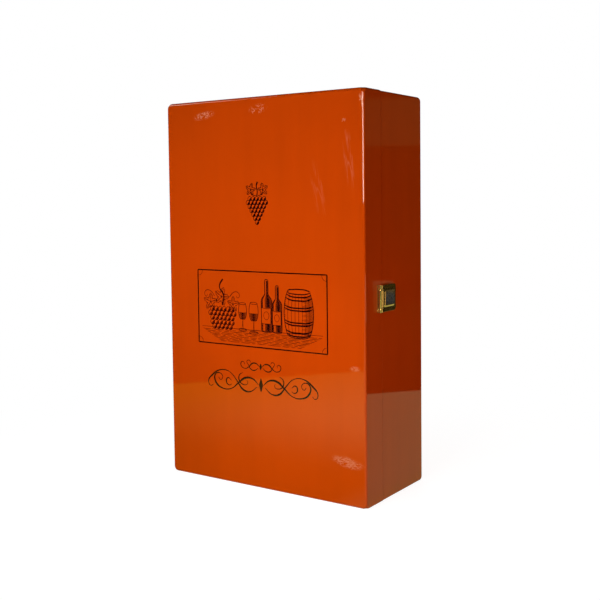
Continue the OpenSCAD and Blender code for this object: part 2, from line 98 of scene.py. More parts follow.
class Graph:
    """The shader nodes of one finish, joined as they are added."""

    def __init__(self, name: str) -> None:
        """Start an empty material.

        Args:
            name: The material's name.
        """
        self.material = bpy.data.materials.new(name)
        self.material.use_nodes = True
        self.tree = self.material.node_tree
        self.tree.nodes.clear()
        self.place: NodeSocket = self.add("ShaderNodeTexCoord").outputs["Object"]

    def add(self, kind: str, sockets: dict | None = None, **settings: object) -> Node:
        """Add one node.

        Args:
            kind: The node's type.
            sockets: Values, or output sockets to link, by input name or number.
            **settings: Properties of the node itself.

        Returns:
            The new node.
        """
        node = self.tree.nodes.new(kind)
        for key, value in settings.items():
            setattr(node, key, value)
        for key, value in (sockets or {}).items():
            if isinstance(value, NodeSocket):
                self.tree.links.new(value, node.inputs[key])
            else:
                node.inputs[key].default_value = value
        return node

    def moved(
        self,
        centre: tuple[float, float, float],
        scale: tuple[float, float, float],
        lean: float = 0.0,
    ) -> NodeSocket:
        """Centre, lean and stretch the object coordinates.

        Args:
            centre: The point, in metres, that becomes the pattern's origin.
            scale: How much each axis is multiplied by afterwards.
            lean: Turn about Y, in degrees.

        Returns:
            The new coordinates.
        """
        away = self.add(
            "ShaderNodeMapping",
            {"Vector": self.place, "Location": [-c for c in centre]},
        )
        turned = self.add(
            "ShaderNodeMapping",
            {
                "Vector": away.outputs["Vector"],
                "Rotation": (0.0, math.radians(lean), 0.0),
            },
        )
        stretched = self.add(
            "ShaderNodeMapping",
            {"Vector": turned.outputs["Vector"], "Scale": scale},
        )
        return stretched.outputs["Vector"]

    def noise(
        self,
        scale: float,
        detail: float = 2.0,
        roughness: float = 0.5,
        vector: NodeSocket | None = None,
    ) -> NodeSocket:
        """Add a noise pattern.

        Args:
            scale: Features per metre.
            detail: Octaves.
            roughness: How strong the finer octaves are.
            vector: Coordinates, or None for plain object coordinates.

        Returns:
            The noise, about 0.5 on average.
        """
        node = self.add(
            "ShaderNodeTexNoise",
            {
                "Vector": vector or self.place,
                "Scale": scale,
                "Detail": detail,
                "Roughness": roughness,
            },
        )
        return node.outputs["Fac"]

    def calc(
        self,
        operation: str,
        first: NodeSocket | float,
        second: NodeSocket | float = 0.0,
    ) -> NodeSocket:
        """Combine two values with a Math node and return the result."""
        node = self.add("ShaderNodeMath", {0: first, 1: second}, operation=operation)
        return node.outputs[0]

    def fade(
        self,
        value: NodeSocket,
        low: float,
        high: float,
        start: float = 0.0,
        end: float = 1.0,
    ) -> NodeSocket:
        """Remap a value smoothly.

        Args:
            value: What is remapped.
            low: The value that gives start.
            high: The value that gives end.
            start: Result at low.
            end: Result at high.

        Returns:
            The remapped value.
        """
        node = self.add(
            "ShaderNodeMapRange",
            {0: value, 1: low, 2: high, 3: start, 4: end},
            interpolation_type="SMOOTHSTEP",
        )
        return node.outputs[0]

    def blend(
        self,
        factor: NodeSocket,
        first: Colour | NodeSocket,
        second: Colour | NodeSocket,
    ) -> NodeSocket:
        """Mix two colours by a factor and return the mixed colour."""
        node = self.add(
            "ShaderNodeMix", {0: factor, 6: first, 7: second}, data_type="RGBA"
        )
        return node.outputs[2]

    def bump(
        self,
        height: NodeSocket,
        distance: float,
        strength: float = 1.0,
        under: NodeSocket | None = None,
    ) -> NodeSocket:
        """Turn a height into a normal.

        Args:
            height: The height pattern, from 0 to 1.
            distance: The height of 1, in metres.
            strength: Share of the effect.
            under: A normal that this one lies on.

        Returns:
            The normal.
        """
        sockets: dict = {"Height": height, "Distance": distance, "Strength": strength}
        if under is not None:
            sockets["Normal"] = under
        return self.add("ShaderNodeBump", sockets).outputs["Normal"]

    def surface(self, sockets: dict) -> Material:
        """Close the graph with a Principled shader and return the material."""
        shader = self.add("ShaderNodeBsdfPrincipled", sockets)
        self.add("ShaderNodeOutputMaterial", {"Surface": shader.outputs[0]})
        return self.material


def shade(colour: tuple[float, float, float], factor: float = 1.0) -> Colour:
    """Return a linear colour with alpha, made lighter or darker by a factor."""
    return (colour[0] * factor, colour[1] * factor, colour[2] * factor, 1.0)


@dataclass(frozen=True)
class FilmPucker:
    """A patch of the lid's front where the clear film over the lacquer is puckered, and where its folds' outlines
    may carry a painted highlight.

    Attributes:
        x: Centre, in millimetres from the middle of the lid.
        z: Centre, in millimetres above the floor.
        width: Half width of the patch.
        height: Half height of the patch.
        lean: Turn of the patch, in degrees.
        pitch: Distance between its folds, in millimetres.
        depth: Height of its folds, in millimetres.
        length: How many times longer than wide the folds are.
        painted_glint: How strongly the folds' outlines are painted pale, as a painted highlight of the film's
            glints, from 0 to 1.
        spread: Breadth of those outlines, as a share of the folds' height.
    """

    x: float
    z: float
    width: float
    height: float
    lean: float
    pitch: float
    depth: float
    length: float = 3.3
    painted_glint: float = 0.0
    spread: float = 0.07


@dataclass(frozen=True)
class Lacquer:
    """Orange gloss lacquer under a clear coat.

    Attributes:
        name: The material's name.
        colour: Linear colour of the pigment.
        painted_glint_colour: Linear colour of the painted highlight along the film's folds.
        puckers: Patches where the clear film is wrinkled, some with a painted highlight along their folds.
    """

    name: str
    colour: tuple[float, float, float] = (0.60, 0.057, 0.0008)
    painted_glint_colour: tuple[float, float, float] = (0.86, 0.34, 0.18)
    puckers: tuple[FilmPucker, ...] = ()

    def make(self, face_y: float) -> Material:
        """Build the material.

        Args:
            face_y: Where the puckered face lies, in metres.

        Returns:
            The lacquer.
        """
        g = Graph(self.name)
        cloud = g.noise(7.0, 2.0)
        grain = g.noise(60.0, 3.0, vector=g.moved((0, 0, 0), (1.0, 1.0, 0.12)))
        mixed = g.calc("ADD", g.calc("MULTIPLY", cloud, 0.7), g.calc("MULTIPLY", grain, 0.3))
        pigment = g.blend(
            g.fade(mixed, 0.35, 0.65), shade(self.colour, 0.94), shade(self.colour, 1.05)
        )
        height = g.noise(260.0, 1.0)
        normal = g.bump(height, 6e-6)
        for pucker in self.puckers:
            mask, folds = self._pucker(g, pucker, face_y)
            normal = g.bump(g.calc("MULTIPLY", folds, mask), pucker.depth * MM, 1.0, normal)
            # Painted highlight: the folds' outlines are painted pale, to stand for the glints of the film.
            if pucker.painted_glint:
                off = g.calc("ABSOLUTE", g.calc("SUBTRACT", folds, 0.5))
                painted_glints = g.calc("MULTIPLY", mask, g.fade(off, 0.0, pucker.spread, 1.0, 0.0))
                pigment = g.blend(
                    g.calc("MULTIPLY", painted_glints, pucker.painted_glint), pigment, shade(self.painted_glint_colour)
                )
        return g.surface(
            {
                "Base Color": pigment,
                "Roughness": 0.5,
                "Specular IOR Level": 0.0,
                "Coat Weight": 1.0,
                "Coat Roughness": 0.035,
                "Coat IOR": 1.5,
                "Coat Normal": normal,
            }
        )

    @staticmethod
    def _pucker(
        g: Graph, pucker: FilmPucker, face_y: float
    ) -> tuple[NodeSocket, NodeSocket]:
        """Return where a puckered patch lies, from 0 to 1, and the height of its folds."""
        centre = (pucker.x * MM, face_y, pucker.z * MM)
        inside = g.moved(
            centre, (1 / (pucker.width * MM), 1 / (20 * MM), 1 / (pucker.height * MM)), pucker.lean
        )
        far = g.add("ShaderNodeVectorMath", {0: inside}, operation="LENGTH").outputs[1]
        ragged = g.calc("ADD", far, g.calc("MULTIPLY", g.noise(90.0, 3.0), 0.7))
        mask = g.fade(ragged, 0.75, 1.25, 1.0, 0.0)
        steps = [1 / (pucker.pitch * MM * times) for times in (1.0, 1.0, pucker.length)]
        folds = g.noise(1.0, 2.5, 0.6, g.moved(centre, steps, pucker.lean))
        return mask, folds


@dataclass(frozen=True)
class Brass:
    """Polished brass plate with fine rubbing marks."""

    name: str = "polished_brass"
    colour: tuple[float, float, float] = (0.80, 0.56, 0.19)

    def make(self) -> Material:
        """Build the material and return it."""
        g = Graph(self.name)
        smudge = g.noise(420.0, 3.0, 0.6)
        tone = g.blend(
            g.fade(smudge, 0.35, 0.7), shade(self.colour, 1.0), shade(self.colour, 0.86)
        )
        rub = g.noise(1.0, 2.0, 0.6, g.moved((0, 0, 0), (900.0, 900.0, 5200.0)))
        return g.surface(
            {
                "Base Color": tone,
                "Metallic": 0.95,
                "Roughness": g.fade(smudge, 0.3, 0.75, 0.09, 0.18),
                "Normal": g.bump(rub, 5e-6, 0.6),
            }
        )


@dataclass(frozen=True)
class Velvet:
    """Short velvet pile, with a nap that is brushed one way and the other."""

    name: str = "sand_velvet"
    colour: tuple[float, float, float] = (0.60, 0.47, 0.29)

    def make(self) -> Material:
        """Build the material and return it."""
        g = Graph(self.name)
        nap = g.noise(28.0, 3.0, 0.6)
        pile = g.noise(2600.0, 2.0, 0.7)
        brushed = g.blend(
            g.fade(nap, 0.35, 0.68), shade(self.colour, 0.86), shade(self.colour, 1.06)
        )
        colour = g.blend(
            g.fade(pile, 0.3, 0.75), brushed, g.blend(g.fade(nap, 0.3, 0.7),
            shade(self.colour, 0.62), shade(self.colour, 0.8))
        )
        return g.surface(
            {
                "Base Color": colour,
                "Roughness": 0.95,
                "Specular IOR Level": 0.1,
                "Sheen Weight": 0.5,
                "Sheen Roughness": 0.35,
                "Sheen Tint": (1.0, 0.9, 0.72, 1.0),
                "Normal": g.bump(pile, 1.6e-4, 0.5),
            }
        )


@dataclass(frozen=True)
class Satin:
    """Champagne satin, whose threads show as a fine diagonal rib."""

    name: str = "champagne_satin"
    colour: tuple[float, float, float] = (0.72, 0.60, 0.42)

    def make(self) -> Material:
        """Build the material and return it."""
        g = Graph(self.name)
        warp = g.add(
            "ShaderNodeTexWave",
            {
                "Vector": g.moved((0, 0, 0), (1.0, 1.0, 1.0), 28.0),
                "Scale": 480.0,
                "Distortion": 1.2,
                "Detail": 2.0,
            },
            bands_direction="X",
        ).outputs["Fac"]
        slub = g.noise(1.0, 3.0, 0.6, g.moved((0, 0, 0), (30.0, 30.0, 900.0)))
        tone = g.blend(
            g.fade(slub, 0.3, 0.75), shade(self.colour, 1.03), shade(self.colour, 0.9)
        )
        colour = g.blend(g.fade(warp, 0.0, 1.0), tone, shade(self.colour, 0.95))
        thread = g.bump(warp, 3.5e-5, 0.5)
        return g.surface(
            {
                "Base Color": colour,
                "Roughness": 0.36,
                "Specular IOR Level": 0.6,
                "Anisotropic": 0.55,
                "Sheen Weight": 0.25,
                "Sheen Roughness": 0.3,
                "Normal": g.bump(slub, 2.5e-5, 0.5, thread),
            }
        )


@dataclass(frozen=True)
class Card:
    """Grey-brown card with a fibrous surface."""

    name: str = "pad_card"
    colour: tuple[float, float, float] = (0.36, 0.26, 0.16)

    def make(self) -> Material:
        """Build the material and return it."""
        g = Graph(self.name)
        fibre = g.noise(900.0, 4.0, 0.7)
        fleck = g.noise(160.0, 2.0)
        mixed = g.calc("ADD", g.calc("MULTIPLY", fibre, 0.6), g.calc("MULTIPLY", fleck, 0.4))
        return g.surface(
            {
                "Base Color": g.blend(
                    g.fade(mixed, 0.35, 0.65), shade(self.colour, 0.85), shade(self.colour, 1.15)
                ),
                "Roughness": 0.9,
                "Specular IOR Level": 0.2,
                "Normal": g.bump(fibre, 8e-5, 0.5),
            }
        )


@dataclass(frozen=True)
class Ink:
    """Screen printing ink, near black with a maroon cast."""

    name: str = "dark_print"
    colour: tuple[float, float, float] = (0.026, 0.0014, 0.0011)

    def make(self) -> Material:
        """Build the material and return it."""
        g = Graph(self.name)
        patchy = g.noise(700.0, 3.0, 0.65)
        return g.surface(
            {
                "Base Color": g.blend(
                    g.fade(patchy, 0.35, 0.75), shade(self.colour, 0.7), shade(self.colour, 1.9)
                ),
                "Roughness": 0.6,
                "Specular IOR Level": 0.0,
                "Coat Weight": 1.0,
                "Coat Roughness": 0.06,
                "Coat IOR": 1.5,
                "Coat Normal": g.bump(patchy, 3e-6, 0.5),
            }
        )


@dataclass
class Finishes:
    """All the finishes of the box, made once."""

    face_y: float
    puckers: tuple[FilmPucker, ...]
    made: dict[str, Material] = field(default_factory=dict)

    def build(self) -> None:
        """Make every material."""
        self.made = {
            "front": Lacquer("front_lacquer", puckers=self.puckers).make(self.face_y),
            "board": Lacquer("orange_lacquer").make(self.face_y),
            "brass": Brass().make(),
            "velvet": Velvet().make(),
            "satin": Satin().make(),
            "card": Card().make(),
            "ink": Ink().make(),
        }
        LOG.info("finishes: %s", ", ".join(self.made))

    def __getitem__(self, name: str) -> Material:
        """Return one material by its short name."""
        return self.made[name]


def box_of(node: str) -> tuple[Vector, Vector]:
    """Return the lowest and highest corner of a CAD node."""
    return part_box(node)


def dress(node: str, finish: Material) -> None:
    """Give a CAD node that stays in view its finish.

    Args:
        node: The node's name.
        finish: Its material.
    """
    shown = frame["nodes"][node]
    shown.data.materials.clear()
    shown.data.materials.append(finish)


def mesh_from(bm: bmesh.types.BMesh, name: str, sharp: float = 35.0) -> Mesh:
    """Turn a bmesh into a smooth mesh with its sharp edges marked.

    Args:
        bm: The bmesh, which is freed.
        name: The mesh's name.
        sharp: Edges sharper than this many degrees stay hard.

    Returns:
        The mesh.
    """
    mesh = bpy.data.meshes.new(name)
    bm.to_mesh(mesh)
    bm.free()
    mesh.shade_smooth()
    mesh.set_sharp_from_angle(angle=math.radians(sharp))
    return mesh


def add_piece(name: str, mesh: Mesh, finish: Material, body: Body) -> Object:
    """Put a finished mesh into the scene as a piece of the box.

    Args:
        name: The piece's name.
        mesh: Its mesh, in place.
        finish: Its material.
        body: The body that it rides on.

    Returns:
        The new object.
    """
    mesh.materials.clear()
    mesh.materials.append(finish)
    piece = bpy.data.objects.new(name, mesh)
    bpy.context.scene.collection.objects.link(piece)
    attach(piece, body.value)
    LOG.info("piece %s: %d faces on %s", name, len(mesh.polygons), body.value)
    return piece


def weigh_normals(piece: Object) -> None:
    """Keep flat faces flat beside their eased edges."""
    settings = piece.modifiers.new("flat_faces", "WEIGHTED_NORMAL")
    settings.keep_sharp = True


def ease_edges(bm: bmesh.types.BMesh, width: float, segments: int, angle: float) -> None:
    """Round the hard edges of a closed shape.

    Args:
        bm: The shape.
        width: How far from the edge the rounding starts, in metres.
        segments: Faces across the rounding.
        angle: Only edges that turn by more than this many degrees are rounded.
    """
    limit = math.radians(angle)
    hard = [e for e in bm.edges if e.is_manifold and e.calc_face_angle(0.0) > limit]
    bmesh.ops.bevel(
        bm,
        geom=hard,
        offset=width,
        offset_type="OFFSET",
        segments=segments,
        profile=0.5,
        affect="EDGES",
        material=-1,
        clamp_overlap=True,
    )


def eased_copy(node: str, width: float, segments: int = 2, angle: float = 40.0) -> Mesh:
    """Copy a CAD node with its hard edges rounded.

    Args:
        node: The node's name.
        width: The rounding, in metres.
        segments: Faces across the rounding.
        angle: Only edges that turn by more than this many degrees are rounded.

    Returns:
        The new mesh, in the node's place.
    """
    bm = bmesh.new()
    bm.from_mesh(frame["nodes"][node].data)
    bmesh.ops.remove_doubles(bm, verts=bm.verts, dist=1e-6)
    bmesh.ops.dissolve_limit(
        bm, angle_limit=math.radians(0.5), verts=bm.verts, edges=bm.edges
    )
    ease_edges(bm, width, segments, angle)
    return mesh_from(bm, node + "_eased")


@dataclass
class Carcass:
    """The lacquered panels and walls of the lid and the base."""

    sides: tuple[str, ...] = ("bottom", "latch", "top", "hinge")

    def build(self, finishes: Finishes) -> None:
        """Dress the panels.

        Args:
            finishes: The finishes of the box.
        """
        dress("lid_front_panel", finishes["front"])
        dress("base_back_panel", finishes["board"])
        for side in self.sides:
            for body in (Body.BASE, Body.LID):
                dress(f"{body.value}_{side}_wall", finishes["board"])
        LOG.info("carcass: ten lacquered boards")


@dataclass
class Linings:
    """The velvet covered boards: linings, divider and bottle cradles.

    Attributes:
        wrap: Rounding of the cloth over a board's edges, in metres.
        wrap_faces: Faces across that rounding.
    """

    wrap: float = 0.7 * MM
    wrap_faces: int = 3
    base_boards: tuple[str, ...] = (
        "base_back_lining",
        "base_bottom_lining",
        "base_latch_lining",
        "base_top_lining",
        "base_hinge_lining",
        "bottle_divider",
        "neck_cradles",
        "upper_body_cradles",
        "lower_body_cradles",
    )
    lid_boards: tuple[str, ...] = (
        "lid_bottom_lining",
        "lid_latch_lining",
        "lid_top_lining",
        "lid_hinge_lining",
    )

    def build(self, finishes: Finishes) -> None:
        """Wrap each board in velvet.

        Args:
            finishes: The finishes of the box.
        """
        for body, boards in ((Body.BASE, self.base_boards), (Body.LID, self.lid_boards)):
            for node in boards:
                mesh = eased_copy(node, self.wrap, self.wrap_faces)
                piece = add_piece(
                    node + "_velvet", mesh, finishes["velvet"], body
                )
                weigh_normals(piece)
                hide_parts(node)


@dataclass
class Pad:
    """The padded satin panel of the lid and the card behind it.

    Attributes:
        thread: Size of the cloth's squares, in metres.
        slack: Thickness of the padding before it swells.
        margin: Room at the pad's sides for its swelling.
        most: The furthest that a point may swell.
        steps: Frames of simulation.
    """

    thread: float = 3.2 * MM
    slack: float = 2.2 * MM
    margin: float = 0.8 * MM
    most: float = 2.6 * MM
    steps: int = 20

    def build(self, finishes: Finishes) -> None:
        """Make the pad and its card.

        Args:
            finishes: The finishes of the box.
        """
        dress("lid_cushion_board", finishes["card"])
        low, high = box_of("lid_cushion")
        mesh = self._bag(low, high)
        pad = add_piece("satin_pad", mesh, finishes["satin"], Body.LID)
        self._swell(pad, low.y)
        smooth = pad.modifiers.new("soft_faces", "SUBSURF")
        smooth.levels = 1
        smooth.render_levels = 1
        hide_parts("lid_cushion")

    def _bag(self, low: Vector, high: Vector) -> Mesh:
        """Make the closed flat bag that the padding fills.

        Args:
            low: The pad's lowest corner.
            high: Its highest corner.

        Returns:
            The bag's mesh.
        """
        width = high.x - low.x - 2 * self.margin
        length = high.z - low.z - 2 * self.margin
        bm = bmesh.new()
        bmesh.ops.create_grid(
            bm,
            x_segments=round(width / self.thread),
            y_segments=round(length / self.thread),
            size=0.5,
        )
        bmesh.ops.scale(bm, vec=(width, length, 1.0), verts=bm.verts)
        bmesh.ops.rotate(
            bm, cent=(0, 0, 0), matrix=Matrix.Rotation(math.pi / 2, 3, "X"), verts=bm.verts
        )
        middle = (low + high) / 2
        bmesh.ops.translate(bm, vec=(middle.x, low.y, middle.z), verts=bm.verts)
        front = bmesh.ops.extrude_face_region(bm, geom=bm.faces[:])["geom"]
        raised = [v for v in front if isinstance(v, bmesh.types.BMVert)]
        bmesh.ops.translate(bm, vec=(0, self.slack, 0), verts=raised)
        bmesh.ops.recalc_face_normals(bm, faces=bm.faces)
        return mesh_from(bm, "satin_pad", 180.0)

    def _swell(self, pad: Object, back_y: float) -> None:
        """Blow the bag up with a cloth simulation and keep the result.

        Args:
            pad: The bag.
            back_y: Where it is glued to its card, in metres.
        """
        glued = pad.vertex_groups.new(name="glued")
        held = [v.index for v in pad.data.vertices if v.co.y < back_y + self.slack / 2]
        glued.add(held, 1.0, "REPLACE")
        before = [v.co.copy() for v in pad.data.vertices]
        cloth = pad.modifiers.new("cloth", "CLOTH")
        settings = cloth.settings
        settings.quality = 6
        settings.mass = 0.25
        settings.tension_stiffness = 12.0
        settings.compression_stiffness = 8.0
        settings.shear_stiffness = 4.0
        settings.bending_stiffness = 0.15
        settings.use_pressure = True
        settings.uniform_pressure_force = 4.0
        settings.shrink_min = -0.035
        settings.vertex_group_mass = "glued"
        settings.effector_weights.gravity = 0.0
        scene = bpy.context.scene
        for step in range(1, self.steps + 1):
            scene.frame_set(step)
        shown = pad.evaluated_get(bpy.context.evaluated_depsgraph_get())
        after = [v.co.copy() for v in shown.data.vertices]
        pad.modifiers.remove(cloth)
        scene.frame_set(1)
        for vertex, start, end in zip(pad.data.vertices, before, after):
            shift = end - start
            if shift.length > self.most:
                shift.length = self.most
            vertex.co = start + shift
        pad.vertex_groups.clear()
        LOG.info("pad: %d points swelled", len(before))


@dataclass
class Fittings:
    """Hinges and the fixed brass of the latch.

    Attributes:
        plates: The stamped plates, each with its body and the rounding of its edges,
            in metres.
    """

    plates: tuple[tuple[str, Body, float], ...] = (
        ("upper_hinge_base_leaf", Body.BASE, 0.12 * MM),
        ("lower_hinge_base_leaf", Body.BASE, 0.12 * MM),
        ("latch_catch_plate", Body.BASE, 0.12 * MM),
        ("upper_hinge_lid_leaf", Body.LID, 0.12 * MM),
        ("lower_hinge_lid_leaf", Body.LID, 0.12 * MM),
        ("latch_lid_plate", Body.LID, 0.3 * MM),
    )
    turned: tuple[str, ...] = (
        "upper_hinge_pin",
        "lower_hinge_pin",
        "base_hinge_screws",
        "latch_catch_screws",
        "lid_hinge_screws",
        "latch_pin",
        "latch_lid_screws",
    )

    def build(self, finishes: Finishes) -> None:
        """Ease the plates and dress the pins and screws.

        Args:
            finishes: The finishes of the box.
        """
        for node, body, ease in self.plates:
            mesh = eased_copy(node, ease)
            piece = add_piece(
                node + "_stamped", mesh, finishes["brass"], body
            )
            weigh_normals(piece)
            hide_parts(node)
        for node in self.turned:
            dress(node, finishes["brass"])


@dataclass(frozen=True)
class Plate:
    """A rectangle with round corners, level in the latch's frame.

    Attributes:
        left: Its near edge, along u.
        foot: Its lower edge, along v.
        right: Its far edge, along u.
        top: Its upper edge, along v.
        near_r: Radius of the two near corners.
        far_r: Radius of the two far corners.
        level: Its place along w.
        corner_faces: Edges round each corner.
    """

    left: float
    foot: float
    right: float
    top: float
    near_r: float
    far_r: float
    level: float
    corner_faces: int = 8

    def inset(self, run: float, level: float) -> "Plate":
        """Return the plate drawn in by a distance, at another level."""
        least = 0.15 * MM
        return Plate(
            self.left + run,
            self.foot + run,
            self.right - run,
            self.top - run,
            max(least, self.near_r - run),
            max(least, self.far_r - run),
            level,
        )

    def draw(self, bm: bmesh.types.BMesh) -> list[bmesh.types.BMEdge]:
        """Add the outline to a bmesh and return its edges."""
        flat = bmesh.new()
        bmesh.ops.create_grid(flat, x_segments=1, y_segments=1, size=0.5)
        bmesh.ops.scale(
            flat, vec=(self.right - self.left, self.top - self.foot, 1.0), verts=flat.verts
        )
        middle = ((self.left + self.right) / 2, (self.foot + self.top) / 2, self.level)
        bmesh.ops.translate(flat, vec=middle, verts=flat.verts)
        near = [v for v in flat.verts if v.co.x < middle[0]]
        far = [v for v in flat.verts if v.co.x > middle[0]]
        for corners, radius in ((near, self.near_r), (far, self.far_r)):
            bmesh.ops.bevel(
                flat,
                geom=corners,
                offset=radius,
                offset_type="OFFSET",
                segments=self.corner_faces,
                profile=0.5,
                affect="VERTICES",
                material=-1,
                clamp_overlap=True,
            )
        bmesh.ops.delete(flat, geom=flat.faces[:], context="FACES_ONLY")
        before = len(bm.edges)
        join(bm, flat)
        bm.edges.ensure_lookup_table()
        return bm.edges[before:]


@dataclass
class Hasp:
    """The pressed brass flap of the latch, with its rolled knuckle and tongue.

    All sizes are in metres in the latch's own frame: u runs back from the seam, v up
    from the latch's middle and w out from the lid's side.

    Attributes:
        axis_back: The knuckle's axis, along u.
        axis_out: The knuckle's axis, along w.
        near: The flap's edge at the knuckle, along u.
        sheet: Thickness of the sheet.
        knuckle_half: Half length of the knuckle.
        knuckle_r: Outer radius of the knuckle.
        bore_r: Inner radius of the knuckle.
        corner_r: Radius of the free corners.
        hinge_rim: Flat rim between knuckle and pillow.
        rim: Flat rim at the other sides of the pillow.
        foot_rim: Flat rim under the pillow.
        raise_by: How far the pillow stands out.
        pillow_r: Radius of the pillow's corners.
        foot_r: Rounding of the pillow's foot.
        brow_r: Rounding of the pillow's brow.
        slope: Steepness of the pillow's wall, in degrees.
        rim_drop: How far the rim slopes down to its edge.
        arc_faces: Faces across each rounding.
        tongue_at: Middle of the tongue, along u.
        tongue_half: Half length of the tongue.
        tongue_t: Thickness of the tongue.
        tongue_low: The tongue's free edge, along w.
    """

    axis_back: float = -6.5 * MM
    axis_out: float = 2.2 * MM
    near: float = -4.2 * MM
    sheet: float = 0.8 * MM
    knuckle_half: float = 7.7 * MM
    knuckle_r: float = 2.0 * MM
    bore_r: float = 0.75 * MM
    corner_r: float = 3.0 * MM
    hinge_rim: float = 1.0 * MM
    rim: float = 3.0 * MM
    foot_rim: float = 4.0 * MM
    raise_by: float = 1.0 * MM
    pillow_r: float = 2.2 * MM
    foot_r: float = 0.5 * MM
    brow_r: float = 0.8 * MM
    slope: float = 37.0
    rim_drop: float = 0.45 * MM
    arc_faces: int = 4
    tongue_at: float = 12.0 * MM
    tongue_half: float = 4.0 * MM
    tongue_t: float = 1.2 * MM
    tongue_low: float = 1.7 * MM

    def build(self, finishes: Finishes) -> None:
        """Make the flap and let it stand for the CAD solid.

        Args:
            finishes: The finishes of the box.
        """
        low, high = box_of("hasp_flap")
        joint = next(j for j in frame["joints"] if j["name"] == "hasp_swing")
        axis = Vector(joint["pos_m"])
        origin = Vector((axis.x - self.axis_out, axis.y - self.axis_back, axis.z))
        far = high.y - origin.y
        half = (high.z - low.z) / 2
        bm = bmesh.new()
        self._flap(bm, far, half)
        self._knuckle(bm)
        self._tongue(bm)
        across = Matrix(((0, 0, 1, 0), (1, 0, 0, 0), (0, 1, 0, 0), (0, 0, 0, 1)))
        bmesh.ops.transform(
            bm, matrix=Matrix.Translation(origin) @ across, verts=bm.verts
        )
        mesh = mesh_from(bm, "pressed_hasp", 50.0)
        piece = add_piece("pressed_hasp", mesh, finishes["brass"], Body.HASP)
        weigh_normals(piece)
        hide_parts("hasp_flap")

    def _flap(self, bm: bmesh.types.BMesh, far: float, half: float) -> None:
        """Make the pressed flap as a chain of outlines, from its brow round to its hollow.

        Args:
            bm: Where the flap is made.
            far: The flap's free edge, along u.
            half: Half the flap's length, along v.
        """
        back = self.axis_out + 0.2 * MM
        front = back + self.sheet
        plate = Plate(self.near, -half, far, half, 0.5 * MM, self.corner_r, 0.0)
        pillow = Plate(
            self.near + self.hinge_rim,
            -half + self.foot_rim,
            far - self.rim,
            half - self.rim,
            self.pillow_r,
            self.pillow_r,
            0.0,
        )
        ease = 0.15 * MM
        chain = [pillow.inset(run, front + rise) for run, rise in reversed(self._press())]
        chain += [
            plate.inset(ease, front - self.rim_drop),
            plate.inset(ease * 0.3, front - self.rim_drop - ease * 0.3),
            plate.inset(0.0, front - self.rim_drop - ease),
            plate.inset(0.0, back + ease),
            plate.inset(ease, back),
        ]
        hollow = pillow.inset(self.sheet, 0.0)
        chain += [hollow.inset(run, back + rise) for run, rise in self._press()]
        rings = [outline.draw(bm) for outline in chain]
        for ring, following in zip(rings, rings[1:]):
            bmesh.ops.bridge_loops(bm, edges=ring + following)
        for ring in (rings[0], rings[-1]):
            bmesh.ops.edgeloop_fill(bm, edges=ring)
        bmesh.ops.recalc_face_normals(bm, faces=bm.faces)
        web = bmesh.new()
        slack = 0.02 * MM
        bmesh.ops.create_cube(web, size=1.0)
        low = self.axis_back + 1.3 * MM
        high = self.near + 0.5 * MM
        bmesh.ops.scale(
            web,
            vec=(high - low, 2 * self.knuckle_half - slack, self.sheet - slack),
            verts=web.verts,
        )
        bmesh.ops.translate(
            web, vec=((low + high) / 2, 0, (back + front) / 2), verts=web.verts
        )
        ease_edges(web, 0.12 * MM, 2, 60.0)
        join(bm, web)

    def _press(self) -> list[tuple[float, float]]:
        """Return the pressed wall's section, as steps inward and outward from its foot."""
        lean = math.radians(self.slope)
        foot, brow = self.foot_r, self.brow_r
        turns = [lean * i / self.arc_faces for i in range(self.arc_faces + 1)]
        rising = [(foot * math.sin(a), foot * (1 - math.cos(a))) for a in turns]
        top = [(-brow * math.sin(a), self.raise_by - brow * (1 - math.cos(a))) for a in turns]
        drop = top[-1][1] - rising[-1][1]
        run = rising[-1][0] + drop / math.tan(lean) - top[-1][0]
        return rising + [(run + x, z) for x, z in reversed(top)]

    def _knuckle(self, bm: bmesh.types.BMesh) -> None:
        """Roll the knuckle round its pin.

        Args:
            bm: Where the knuckle is made.
        """
        ring = bmesh.new()
        ease = 0.35 * MM
        half = self.knuckle_half
        section = (
            (self.bore_r, -half),
            (self.knuckle_r - ease, -half),
            (self.knuckle_r, -half + ease),
            (self.knuckle_r, half - ease),
            (self.knuckle_r - ease, half),
            (self.bore_r, half),
        )
        line = [ring.verts.new((self.axis_back + r, v, self.axis_out)) for r, v in section]
        edges = [ring.edges.new((a, b)) for a, b in zip(line, line[1:] + line[:1])]
        bmesh.ops.spin(
            ring,
            geom=line + edges,
            cent=(self.axis_back, 0, self.axis_out),
            axis=(0, 1, 0),
            angle=math.tau,
            steps=40,
            use_merge=True,
            use_normal_flip=False,
            use_duplicate=False,
        )
        bmesh.ops.remove_doubles(ring, verts=ring.verts, dist=1e-7)
        bmesh.ops.recalc_face_normals(ring, faces=ring.faces)
        join(bm, ring)

    def _tongue(self, bm: bmesh.types.BMesh) -> None:
        """Stand the tongue behind the pillow.

        Args:
            bm: Where the tongue is made.
        """
        tongue = bmesh.new()
        top = self.axis_out + self.sheet + 0.2 * MM + self.raise_by - self.sheet / 2
        bmesh.ops.create_cube(tongue, size=1.0)
        bmesh.ops.scale(
            tongue,
            vec=(self.tongue_t, 2 * self.tongue_half, top - self.tongue_low),
            verts=tongue.verts,
        )
        bmesh.ops.translate(
            tongue, vec=(self.tongue_at, 0, (top + self.tongue_low) / 2), verts=tongue.verts
        )
        ease_edges(tongue, 0.25 * MM, 3, 60.0)
        join(bm, tongue)


def join(bm: bmesh.types.BMesh, part: bmesh.types.BMesh) -> None:
    """Add one bmesh to another and free it."""
    mesh = bpy.data.meshes.new("joined")
    part.to_mesh(mesh)
    part.free()
    bm.from_mesh(mesh)
    bpy.data.meshes.remove(mesh)


